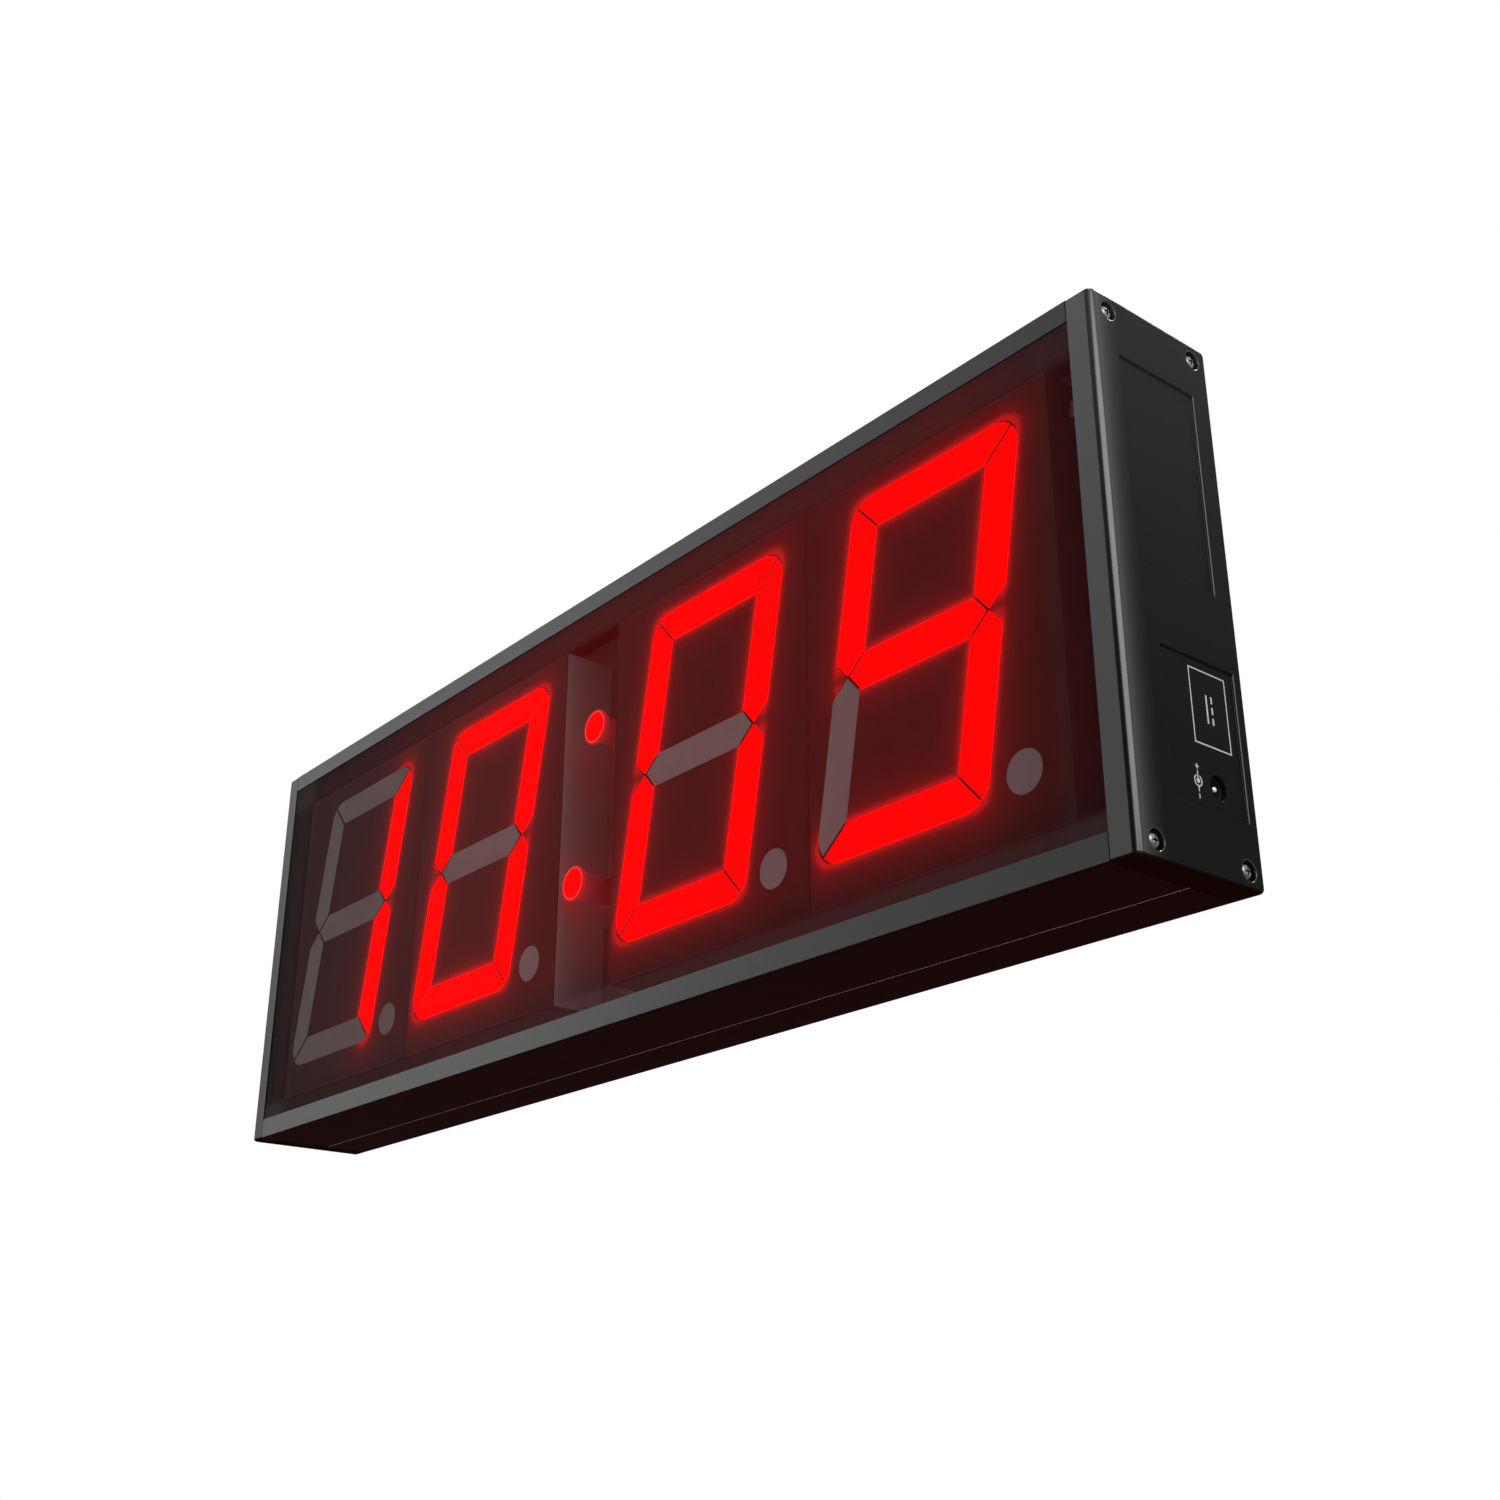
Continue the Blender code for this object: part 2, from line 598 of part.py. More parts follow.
def digit_points():
    """Named points of an upright digit, as (across, up) from its lower left corner."""
    w, h, middle = DIGIT_WIDTH, DIGIT_HEIGHT, DIGIT_HEIGHT / 2
    side, end, half = STROKE_SIDE, STROKE_END, STROKE_MIDDLE / 2
    return {
        "top_left": (0.0, h), "top_right": (w, h), "foot_left": (0.0, 0.0), "foot_right": (w, 0.0),
        "in_top_left": (side, h - end), "in_top_right": (w - side, h - end),
        "in_foot_left": (side, end), "in_foot_right": (w - side, end),
        "waist_left": (side / 2, middle), "waist_right": (w - side / 2, middle),
        "over_left": (side, middle + half), "over_right": (w - side, middle + half),
        "under_left": (side, middle - half), "under_right": (w - side, middle - half),
        "out_over_left": (0.0, middle + half), "out_over_right": (w, middle + half),
        "out_under_left": (0.0, middle - half), "out_under_right": (w, middle - half),
    }


# Each segment keeps what lies to the left of its lines: mitres meet a neighbour, edges don't
MITRES = {
    "a": (("in_top_right", "top_right"), ("top_left", "in_top_left")),
    "b": (("top_right", "in_top_right"), ("over_right", "waist_right")),
    "c": (("in_foot_right", "foot_right"), ("waist_right", "under_right")),
    "d": (("in_foot_left", "foot_left"), ("foot_right", "in_foot_right")),
    "e": (("foot_left", "in_foot_left"), ("under_left", "waist_left")),
    "f": (("in_top_left", "top_left"), ("waist_left", "over_left")),
    "g": (("over_left", "waist_left"), ("waist_left", "under_left"),
          ("under_right", "waist_right"), ("waist_right", "over_right")),
}
EDGES = {
    "a": (("in_top_left", "in_top_right"),),
    "b": (("in_top_right", "over_right"), ("waist_right", "out_over_right")),
    "c": (("under_right", "in_foot_right"), ("out_under_right", "waist_right")),
    "d": (("in_foot_right", "in_foot_left"),),
    "e": (("in_foot_left", "under_left"), ("waist_left", "out_under_left")),
    "f": (("over_left", "in_top_left"), ("out_over_left", "waist_left")),
    "g": (("over_right", "over_left"), ("under_left", "under_right")),
}


def lean(point):
    """An upright point moved sideways by the digit's slant, in the module's frame."""
    across, up = point
    return (MODULE_LEFT + across + up * math.tan(DIGIT_SLANT), MODULE_BOTTOM + up)


def segment_outline(letter, grow):
    """One segment's outline, with every side moved out by grow."""
    points = {name: lean(point) for name, point in digit_points().items()}
    outline = rounded([(*points[name], DIGIT_CORNER) for name in
                       ("foot_left", "foot_right", "top_right", "top_left")])
    middle = Vector(lean((DIGIT_WIDTH / 2, DIGIT_HEIGHT / 2)))
    outline = grown(outline, middle, grow)
    for start, end in MITRES[letter]:
        outline = keep_left(outline, points[start], points[end], MITRE_GAP / 2 - grow)
    for start, end in EDGES[letter]:
        outline = keep_left(outline, points[start], points[end], -grow)
    return outline


def grown(outline, middle, grow):
    """A convex outline moved out along its own corners' normals."""
    moved = []
    for k, point in enumerate(outline):
        before = Vector(point) - Vector(outline[k - 1])
        after = Vector(outline[(k + 1) % len(outline)]) - Vector(point)
        along = (before.normalized() + after.normalized()).normalized()
        normal = Vector((along.y, -along.x))
        if normal.dot(Vector(point) - middle) < 0:
            normal.negate()
        reach = grow / math.cos(before.angle(after) / 2)
        moved.append(tuple(Vector(point) + normal * reach))
    return moved


def dot_centre():
    return (MODULE_LEFT + DIGIT_WIDTH + DOT_SPACE + DOT_RADIUS, MODULE_BOTTOM + DOT_RISE)


def lamp_outlines(grow):
    """Outlines of the seven segments and the decimal point in the module's frame."""
    outlines = {f"segment_{letter}": segment_outline(letter, grow) for letter in "abcdefg"}
    outlines["decimal_point"] = circle(dot_centre(), DOT_RADIUS + grow, LAMP_STEPS)
    return outlines


def make_housing():
    """Digit housing: a face plate with deep reflector wells, open at the back."""
    low, high = (GAP / 2, 0.0), (MODULE_PITCH - GAP / 2, MODULE_HEIGHT)
    housing = prism(rectangle(low, high), "Y", MODULE_FACE, MODULE_REAR, "shape_housing")
    inset = MODULE_WALL
    hollow = prism(rectangle((low[0] + inset, low[1] + inset), (high[0] - inset, high[1] - inset)),
                   "Y", MODULE_FACE + FACE_PLATE, MODULE_REAR + CUT_OVER, "cut_housing_hollow")
    for name, outline in lamp_outlines(GAP + REFLECTOR_WALL).items():
        boolean(hollow, prism(outline, "Y", MODULE_FACE, MODULE_REAR + 2 * CUT_OVER, f"keep_well_{name}"))
    boolean(housing, hollow)
    for name, outline in lamp_outlines(GAP).items():
        boolean(housing, prism(outline, "Y", MODULE_FACE - CUT_OVER, MODULE_REAR + CUT_OVER,
                               f"cut_well_{name}"))
    return settle(housing)


def module_places():
    """Left edge of each module, from left to right."""
    left = -COLON_CHANNEL / 2 - 2 * MODULE_PITCH
    right = COLON_CHANNEL / 2
    return [left, left + MODULE_PITCH, right, right + MODULE_PITCH]


def make_modules():
    housing = make_housing()
    lamps = {name: prism(outline, "Y", MODULE_FACE, MODULE_REAR, f"shape_{name}")
             for name, outline in lamp_outlines(0.0).items()}
    for number, (x, lit) in enumerate(zip(module_places(), DIGITS_LIT), start=1):
        module = bpy.data.objects.new(f"module_{number}", None)
        PARTS.objects.link(module)
        module.parent = ROOT
        module.location = (x, 0.0, MODULE_FOOT)
        place(bpy.data.objects.new("housing", housing.data.copy()), f"digit_{number}_housing",
              "module_plastic", module)
        for name, shape in lamps.items():
            finish = "segment_lit" if name[-1] in lit and name.startswith("segment") else "segment_unlit"
            place(bpy.data.objects.new("lamp", shape.data.copy()), f"digit_{number}_{name}", finish, module)


# Colon, between the two pairs of modules

def colon_centres():
    x, z = COLON_MIDDLE
    rise = COLON_PITCH / 2
    lean_out = rise * math.tan(DIGIT_SLANT)
    middle = MODULE_FOOT + z
    return {"upper": (x + lean_out, middle + rise), "lower": (x - lean_out, middle - rise)}


def make_colon():
    """Two clear light rods with flat heads, which stand in the sockets of a base plate."""
    width, height, thick = COLON_BASE
    x, z = COLON_MIDDLE[0], MODULE_FOOT + COLON_MIDDLE[1]
    holder = block((x - width / 2, MODULE_REAR - thick, z - height / 2),
                   (x + width / 2, MODULE_REAR, z + height / 2), "colon_holder", "dark_component")
    bore, mouth = COLON_ROD_RADIUS + HOLE_PLAY, MODULE_REAR - COLON_SOCKET_LENGTH
    for name, centre in colon_centres().items():
        boolean(holder, rod(centre, bore + COLON_SOCKET_WALL, "Y", mouth, MODULE_REAR - thick / 2,
                            f"add_colon_socket_{name}", steps=LAMP_STEPS), "UNION")
    for name, centre in colon_centres().items():
        boolean(holder, rod(centre, bore, "Y", mouth - CUT_OVER, MODULE_REAR + CUT_OVER,
                            f"cut_colon_bore_{name}", steps=LAMP_STEPS))
        lens = rod(centre, COLON_ROD_RADIUS, "Y", MODULE_FACE + COLON_HEAD_THICK / 2, MODULE_REAR,
                   f"colon_lens_{name}", "segment_lit", LAMP_STEPS)
        boolean(lens, rod(centre, COLON_HEAD_RADIUS, "Y", MODULE_FACE, MODULE_FACE + COLON_HEAD_THICK,
                          f"add_colon_head_{name}", steps=LAMP_STEPS), "UNION")


# Window and boards

def make_window():
    reach = CAP_FACE + WINDOW_END_GRIP
    block((-reach, WINDOW_FRONT, WINDOW_BOTTOM), (reach, WINDOW_BACK, WINDOW_TOP),
          "front_window", "smoked_acrylic")


def make_display_board():
    reach = CAP_FACE - BOARD_END_SPACE
    block((-reach, BOARD_FRONT, CASE_WALL + GAP), (reach, BOARD_BACK, CASE_HEIGHT - CASE_WALL - GAP),
          "display_board", "circuit_board")


def control_corners():
    """Places of the four studs that carry the control board."""
    low_x, high_x = CONTROL_LEFT + STUD_INSET, CONTROL_RIGHT - STUD_INSET
    low_z, high_z = CONTROL_RISE + STUD_INSET, CONTROL_RISE + CONTROL_SIZE[1] - STUD_INSET
    return [("lower_left", low_x, low_z), ("lower_right", high_x, low_z),
            ("upper_left", low_x, high_z), ("upper_right", high_x, high_z)]


def make_control_board():
    board = block((CONTROL_LEFT, CONTROL_FRONT, CONTROL_RISE),
                  (CONTROL_RIGHT, CONTROL_BACK, CONTROL_RISE + CONTROL_SIZE[1]),
                  "control_board", "circuit_board")
    for name, x, z in control_corners():
        boolean(board, rod((x, z), STUD_PIN_RADIUS + HOLE_PLAY, "Y", CONTROL_FRONT - CUT_OVER,
                           CONTROL_BACK + CUT_OVER, f"cut_board_hole_{name}"))


def make_buzzer():
    x, z = CONTROL_LEFT + BUZZER_PLACE[0], CONTROL_RISE + BUZZER_PLACE[1]
    back = CONTROL_FRONT - GAP
    front = back - BUZZER_HEIGHT
    buzzer = rod((x, z), BUZZER_RADIUS, "Y", front, back, "buzzer", "dark_component")
    boolean(buzzer, rod((x, z), BUZZER_HOLE_RADIUS, "Y", front - CUT_OVER, front + BUZZER_HOLE_DEPTH,
                        "cut_buzzer_hole"))


def make_receiver():
    """Infrared receiver in the margin beside the last digit, looking out through the window."""
    width, depth, height = RECEIVER_SIZE
    x, z = CAP_FACE - MARGIN_SIDE / 2, CASE_HEIGHT - RECEIVER_DROP
    front = MODULE_REAR - depth
    receiver = block((x - width / 2, front, z - height / 2),
                     (x + width / 2, MODULE_REAR, z + height / 2), "ir_receiver", "dark_component")
    lens = rod((x, front), RECEIVER_LENS_RADIUS, "Z", z - RECEIVER_LENS_RADIUS, z + RECEIVER_LENS_RADIUS,
               "add_receiver_lens")
    boolean(receiver, lens, "UNION")


def make_ribbon():
    """Flat cable from the display board to the control board, in a smooth S bend."""
    end_x, z = CONTROL_LEFT + RIBBON_PLACE[0], CONTROL_RISE + RIBBON_PLACE[1]
    start_y, end_y = BOARD_BACK + GAP, CONTROL_FRONT - GAP
    route = []
    for k in range(RIBBON_STEPS + 1):
        t = k / RIBBON_STEPS
        eased = t * t * (3 - 2 * t)
        route.append(Vector((end_x - RIBBON_REACH * (1 - eased), start_y + (end_y - start_y) * t)))
    left, right = [], []
    for k, point in enumerate(route):
        ahead = route[min(k + 1, RIBBON_STEPS)] - route[max(k - 1, 0)]
        if k in (0, RIBBON_STEPS):
            ahead = Vector((0.0, 1.0))
        normal = Vector((-ahead.y, ahead.x)).normalized() * RIBBON_THICK / 2
        left.append(tuple(point + normal))
        right.append(tuple(point - normal))
    prism(left + right[::-1], "Z", z - RIBBON_WIDTH / 2, z + RIBBON_WIDTH / 2,
          "ribbon_cable", "ribbon_grey")


def make_jack():
    """Barrel power socket behind the right end cap, with its centre pin."""
    length, width, height = JACK_BODY
    front = END - CAP_PLATE - GAP
    floor = front - JACK_BORE_DEPTH
    body = block((front - length, JACK_Y - width / 2, JACK_RISE - height / 2),
                 (front, JACK_Y + width / 2, JACK_RISE + height / 2), "dc_jack_body", "dark_component")
    boolean(body, rod((JACK_Y, JACK_RISE), JACK_BORE_RADIUS, "X", floor, front + CUT_OVER, "cut_jack_bore"))
    boolean(body, rod((JACK_Y, JACK_RISE), JACK_PIN_RADIUS + HOLE_PLAY, "X", floor - JACK_PIN_ROOT - GAP,
                      floor + CUT_OVER, "cut_jack_pin_hole"))
    tip, root = RECESS_FLOOR - JACK_PIN_SUNK, floor - JACK_PIN_ROOT
    pin = turned([(tip, 0.0), (tip, JACK_PIN_RADIUS - JACK_PIN_CHAMFER),
                  (tip - JACK_PIN_CHAMFER, JACK_PIN_RADIUS), (root, JACK_PIN_RADIUS), (root, 0.0)],
                 "dc_jack_pin", "steel")
    pin.location = (0.0, JACK_Y, JACK_RISE)


make_rails()
make_rear_channel()
make_caps()
make_screws()
make_window()
make_modules()
make_colon()
make_display_board()
make_control_board()
make_buzzer()
make_receiver()
make_ribbon()
make_jack()
bpy.context.view_layer.update()
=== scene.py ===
# %% [markdown]
# # A gym timer, dressed for its picture
# The timer is a black aluminium case with four big seven-segment digits behind a smoked window.
# Its engineering model is already packed as a frame. This lesson keeps that frame where it is,
# builds finer pieces over the parts that the eye meets first, and paints every surface.

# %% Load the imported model
import json
import math
from functools import reduce

import bmesh
import bpy
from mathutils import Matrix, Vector

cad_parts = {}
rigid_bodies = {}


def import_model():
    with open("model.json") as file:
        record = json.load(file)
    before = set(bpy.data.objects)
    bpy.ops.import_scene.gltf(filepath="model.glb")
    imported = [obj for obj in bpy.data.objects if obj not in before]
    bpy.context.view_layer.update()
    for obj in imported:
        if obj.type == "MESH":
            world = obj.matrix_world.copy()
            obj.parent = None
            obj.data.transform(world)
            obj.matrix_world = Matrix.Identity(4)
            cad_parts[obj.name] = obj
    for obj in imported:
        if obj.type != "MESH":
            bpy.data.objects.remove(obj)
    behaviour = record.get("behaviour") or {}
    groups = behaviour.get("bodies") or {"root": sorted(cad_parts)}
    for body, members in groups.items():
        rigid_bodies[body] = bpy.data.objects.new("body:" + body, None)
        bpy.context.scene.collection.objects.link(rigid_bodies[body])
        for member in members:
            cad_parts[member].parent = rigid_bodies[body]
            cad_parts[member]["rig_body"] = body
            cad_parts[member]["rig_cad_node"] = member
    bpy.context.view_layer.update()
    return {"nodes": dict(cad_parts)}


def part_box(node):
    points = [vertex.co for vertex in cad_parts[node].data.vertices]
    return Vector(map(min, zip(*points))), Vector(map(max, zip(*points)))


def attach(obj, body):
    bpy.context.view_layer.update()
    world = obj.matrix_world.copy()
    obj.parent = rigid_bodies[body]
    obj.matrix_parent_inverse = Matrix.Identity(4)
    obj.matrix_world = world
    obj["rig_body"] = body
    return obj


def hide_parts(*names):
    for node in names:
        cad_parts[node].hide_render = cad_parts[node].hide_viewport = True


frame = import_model()

# %% [markdown]
# ## Sizes
# Blender works in metres and a case maker in millimetres, so lengths are a number times MM. The
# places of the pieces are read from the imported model. LIT says which segments of each digit
# shine, so that the timer shows 10:09.

# %% Measure the frame
MM = 0.001


def middle_of(node):
    """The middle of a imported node's box."""
    low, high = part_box(node)
    return (low + high) / 2


CAP_LOW, CAP_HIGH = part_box("right_end_cap")
FRONT, BACK, END, TOP = CAP_LOW.y, CAP_HIGH.y, CAP_HIGH.x, CAP_HIGH.z
CAP_FACE = CAP_LOW.x
HOUSING_LOW, HOUSING_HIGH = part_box("digit_1_housing")
FACE, REAR = HOUSING_LOW.y, HOUSING_HIGH.y
LIT = {1: "bc", 2: "abcdef", 3: "abcdef", 4: "abcdfg"}
STEPS = {number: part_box(f"digit_{number}_housing")[0].x - HOUSING_LOW.x for number in LIT}
print("each cap is", round((END - CAP_FACE) / MM, 2), "mm long")
print("the digits' faces lie at y", round(FACE / MM, 2), "mm")

# %% [markdown]
# ## Small tools
# These few helpers do what a modeller's hands do: put down a primitive, pick some of its edges
# or faces by their place, and apply a modifier. Everything else is built from them.

# %% Put down and pick
AXIS_TURN = {"X": (0.0, math.pi / 2, 0.0), "Y": (math.pi / 2, 0.0, 0.0), "Z": (0.0, 0.0, 0.0)}


def alone(piece):
    """Makes the piece the only selected and active one, in object mode."""
    if bpy.context.object and bpy.context.object.mode == "EDIT":
        bpy.ops.object.mode_set(mode="OBJECT")
    bpy.ops.object.select_all(action="DESELECT")
    if piece:
        piece.select_set(True)
        bpy.context.view_layer.objects.active = piece


def settle(name):
    """Names the newest primitive and puts its place, turn and size into its mesh."""
    piece = bpy.context.object
    piece.name = piece.data.name = name
    bpy.ops.object.transform_apply()
    return piece


def block(name, low, high):
    """A cube primitive stretched between two corners."""
    alone(None)
    bpy.ops.mesh.primitive_cube_add(size=1.0, location=[(a + b) / 2 for a, b in zip(low, high)])
    bpy.context.object.scale = [b - a for a, b in zip(low, high)]
    return settle(name)


def drum(name, centre, radius, axis, low, high, sides=64):
    """A cylinder primitive round an axis through a point, from low to high along the axis."""
    alone(None)
    place = list(centre)
    place["XYZ".index(axis)] = (low + high) / 2
    bpy.ops.mesh.primitive_cylinder_add(vertices=sides, radius=radius, depth=high - low, location=place,
                                        rotation=AXIS_TURN[axis])
    return settle(name)


def pick(piece, kind, test):
    """In edit mode, selects the piece's vertices, edges or faces that pass the test."""
    alone(piece)
    bpy.ops.object.mode_set(mode="EDIT")
    bpy.ops.mesh.select_mode(type=kind)
    bpy.ops.mesh.select_all(action="DESELECT")
    shape = bmesh.from_edit_mesh(piece.data)
    elements = {"VERT": shape.verts, "EDGE": shape.edges, "FACE": shape.faces}[kind]
    chosen = [element for element in elements if test(element)]
    for element in chosen:
        element.select_set(True)
    shape.select_flush_mode()
    bmesh.update_edit_mesh(piece.data)
    return len(chosen)


# %% Bevel, cut and smooth
NEAR = 0.02 * MM


def runs_along(edge, axis):
    """Whether an edge is parallel to an axis."""
    first, second = (vertex.co for vertex in edge.verts)
    off = [abs(a - b) for k, (a, b) in enumerate(zip(first, second)) if k != "XYZ".index(axis)]
    return max(off) < NEAR


def at(edge, axis, value):
    """Whether an edge's middle lies at a value on an axis."""
    middle = (edge.verts[0].co + edge.verts[1].co) / 2
    return abs(middle["XYZ".index(axis)] - value) < NEAR


def round_edges(piece, test, width, steps):
    """Bevels the edges that pass the test, and says how many they were."""
    count = pick(piece, "EDGE", test)
    bpy.ops.mesh.bevel(offset=width, offset_type="OFFSET", segments=steps, profile=0.5, affect="EDGES")
    alone(piece)
    return count


def apply_modifier(piece, kind, **settings):
    """Adds a modifier with its settings and applies it."""
    alone(piece)
    modifier = piece.modifiers.new(kind.lower(), kind)
    for name, value in settings.items():
        setattr(modifier, name, value)
    bpy.ops.object.modifier_apply(modifier=modifier.name)


def cut(piece, *tools, operation="DIFFERENCE"):
    """Cuts tools out of a piece, or joins them to it, and throws the tools away."""
    for tool in tools:
        apply_modifier(piece, "BOOLEAN", operation=operation, solver="EXACT", object=tool)
        bpy.data.objects.remove(tool)


def draw_out(x=0.0, y=0.0):
    """Extrudes the picked faces along x or y."""
    bpy.ops.mesh.extrude_region_move(TRANSFORM_OT_translate={"value": (x, y, 0.0)})


def smooth(piece, angle=32):
    """Smooth shading that keeps true corners sharp and flat faces flat."""
    alone(piece)
    bpy.ops.object.shade_smooth_by_angle(angle=math.radians(angle))
    apply_modifier(piece, "WEIGHTED_NORMAL", keep_sharp=True)
    return piece


def twin(piece, name):
    """A copy of a piece with a mesh of its own."""
    copy = piece.copy()
    copy.data = piece.data.copy()
    copy.name = copy.data.name = name
    bpy.context.scene.collection.objects.link(copy)
    return copy


def shift(piece, by, turn=0.0):
    """Moves a piece, turns it round z, and puts both into its mesh."""
    alone(piece)
    piece.location, piece.rotation_euler = by, (0.0, 0.0, turn)
    bpy.ops.object.transform_apply()
    return piece


# %% [markdown]
# ## Shader maths
# A material here is a small sum: noise times a strength plus a base value. Such a sum could be
# wired node by node, but it reads better as Python. So one class wraps a socket and turns
# + - * / and ** into Math nodes, also where the plain number comes first, as in 1 - mask.

# %% Values
class Wire:
    """A value inside a finish. Arithmetic on it adds Math nodes."""

    def __init__(self, finish, socket):
        self.finish, self.socket = finish, socket

    def maths(self, operation, *values):
        return self.finish.node("Math", {"operation": operation}, dict(enumerate(values)))

    def __gt__(self, other):
        return self.maths("GREATER_THAN", self, other)

    def __lt__(self, other):
        return self.maths("LESS_THAN", self, other)

    def __abs__(self):
        return self.maths("ABSOLUTE", self)

    def at_most(self, other):
        return self.maths("MINIMUM", self, other)

    def at_least(self, other):
        return self.maths("MAXIMUM", self, other)

    def between_0_and_1(self):
        return self.at_least(0.0).at_most(1.0)

    def ramp(self, start, end):
        """0 up to start, 1 from end on, and an even slope between them."""
        return ((self - start) / (end - start)).between_0_and_1()

    def fading(self, length):
        """1 where the value is 0, and about a third of that for each length further on."""
        return self.maths("EXPONENT", self / -length)


for sign, operation in (("add", "ADD"), ("sub", "SUBTRACT"), ("mul", "MULTIPLY"), ("truediv", "DIVIDE"),
                        ("pow", "POWER")):
    setattr(Wire, f"__{sign}__", lambda self, other, does=operation: self.maths(does, self, other))
    setattr(Wire, f"__r{sign}__", lambda self, other, does=operation: self.maths(does, other, self))


def reach(across, up):
    """How far apart two points are, from how far they are apart along two axes."""
    return (across * across + up * up) ** 0.5


# %% [markdown]
# ## Finishes
# A finish is one material: a Principled shader and the nodes that paint it. Its node method can
# add any node, so each finish below reads as a short recipe of noise, blends and ramps. What is
# the same all over a surface stands on the shader's own sockets.

# %% Finishes
class Finish:
    """A material and the nodes that paint it."""

    def __init__(self, name, **constants):
        self.material = bpy.data.materials.new(name)
        self.material.use_nodes = True
        self.tree = self.material.node_tree
        self.shader = self.tree.nodes["Principled BSDF"]
        for socket, value in constants.items():
            self.set(socket.replace("_", " "), value)

    def feed(self, socket, value):
        """Puts a wire, a number or a colour on a socket."""
        if isinstance(value, Wire):
            self.tree.links.new(value.socket, socket)
        else:
            socket.default_value = (*value, 1.0) if socket.type == "RGBA" else value

    def set(self, name, value):
        """Feeds one of the shader's own sockets."""
        self.feed(self.shader.inputs[name], value)

    def node(self, kind, settings=None, inputs=None, output=0):
        """Adds a node, sets it, feeds its sockets, and gives one of its outputs."""
        node = self.tree.nodes.new("ShaderNode" + kind)
        settings = dict(settings or {})
        stops = settings.pop("stops", None)
        for name, value in settings.items():
            setattr(node, name, value)
        if stops:
            ramp = node.color_ramp
            while len(ramp.elements) < len(stops):
                ramp.elements.new(1.0)
            for element, (place, colour) in zip(ramp.elements, stops):
                element.position, element.color = place, (*colour, 1.0)
        for name, value in (inputs or {}).items():
            self.feed(node.inputs[name], value)
        return Wire(self, node.outputs[output]) if node.outputs else None

    def place(self):
        """The point's place on the object, as a vector and as its x, y and z."""
        point = self.node("TexCoord", output="Object")
        return point, [self.node("SeparateXYZ", inputs={0: point}, output=k) for k in range(3)]

    def noise(self, point, scale, stretch=(1.0, 1.0, 1.0), detail=3.0, roughness=0.5):
        """Noise with a number of grains per metre, stretched by a vector of factors."""
        stretched = self.node("Mapping", inputs={"Vector": point, "Scale": stretch})
        return self.node("TexNoise", inputs={"Vector": stretched, "Scale": scale, "Detail": detail,
                                             "Roughness": roughness})

    def blend(self, factor, first, second):
        """A colour between two colours."""
        return self.node("Mix", {"data_type": "RGBA"}, {0: factor, 6: first, 7: second}, output=2)

    def bump(self, height, distance):
        """Feeds a height between 0 and 1, of a depth in metres, to the shader's Normal."""
        bumped = self.node("Bump", inputs={"Height": height, "Distance": distance, "Strength": 1.0})
        self.set("Normal", bumped)


# %% [markdown]
# ## Black aluminium
# The rails and the channel are extruded and anodised black. The die leaves faint lines along the
# length, which are long thin noise here, and the oxide's even matt is fine noise. The front bars
# are brushed to a satin, so the coat is strong there. The underside lies in the digits' red light,
# which is painted into its colour as a dark red-brown. Pale dust marks the seams along the channel.

# %% Anodised aluminium
SEAM, SEAM_HALF, SEAM_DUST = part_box("bottom_rail")[1].y, 0.45 * MM, (0.25, 0.22, 0.22)
# The underside's painted red light: the digits' glow put into the colour below this height.
UNDERSIDE, UNDER_RED_LIGHT = 0.6 * MM, (0.0095, 0.0011, 0.0011)
SKIN = 0.1 * MM


def aluminium():
    finish = Finish("black anodised aluminium", Specular_IOR_Level=0.0, Coat_IOR=1.125, Coat_Roughness=0.2)
    point, (_, y, z) = finish.place()
    under = z < UNDERSIDE
    lines = finish.noise(point, 900.0, (0.006, 1.0, 1.0), detail=2.0)
    grain = finish.noise(point, 3800.0, detail=2.0)
    cloud = finish.noise(point, 14.0)
    black = finish.blend(cloud * 0.6 + grain * 0.4, (0.010, 0.0090, 0.0090), (0.013, 0.0118, 0.0118))
    # Painted red light: the underside takes a dark red-brown for the digits' glow that falls on it.
    black = finish.blend(under, black, UNDER_RED_LIGHT)
    finish.set("Base Color", finish.blend(abs(y - SEAM) < SEAM_HALF, black, SEAM_DUST))
    finish.set("Roughness", 0.5 + lines * 0.1 + cloud * 0.05)
    front_bar = (y < FRONT + SKIN) * (0.75 + lines * 0.1 - (z > TOP / 2) * 0.07)
    back_face = (y > BACK - SKIN) * 0.6
    finish.set("Coat Weight", front_bar + back_face + 0.2 - under * 0.15)
    finish.bump(lines * 0.7 + grain * 0.3, 0.003 * MM)
    return finish.material


ALUMINIUM = aluminium()
print("finish:", ALUMINIUM.name)

# %% [markdown]
# ## Moulded plastic
# The end caps are black plastic. The mould was polished at the front corner and at the rims of
# the recesses and holes, so these edges catch the light, and the flat sides are a dull satin. Their
# colour is painted paler towards the top as painted light from above, with a faint cloud of random
# tone, and the underside is painted dark red as painted light from the digits. A picture could say
# where the plastic shines. Here the point's own place says it, so the rims stay sharp at any distance.

# %% Places on the end caps
EDGE_RADIUS = 2.66 * MM
SCREW_ROWS = {"front": FRONT + 8.2 * MM, "rear": BACK - 6.8 * MM}
SCREW_HEIGHTS = {"lower": 5.8 * MM, "upper": TOP - 5.8 * MM}
SCREW_PLACES = {f"{row}_{height}": (y, z)
                for row, y in SCREW_ROWS.items() for height, z in SCREW_HEIGHTS.items()}
BORE_RADIUS, BORE_RIM = 3.15 * MM, 0.3 * MM
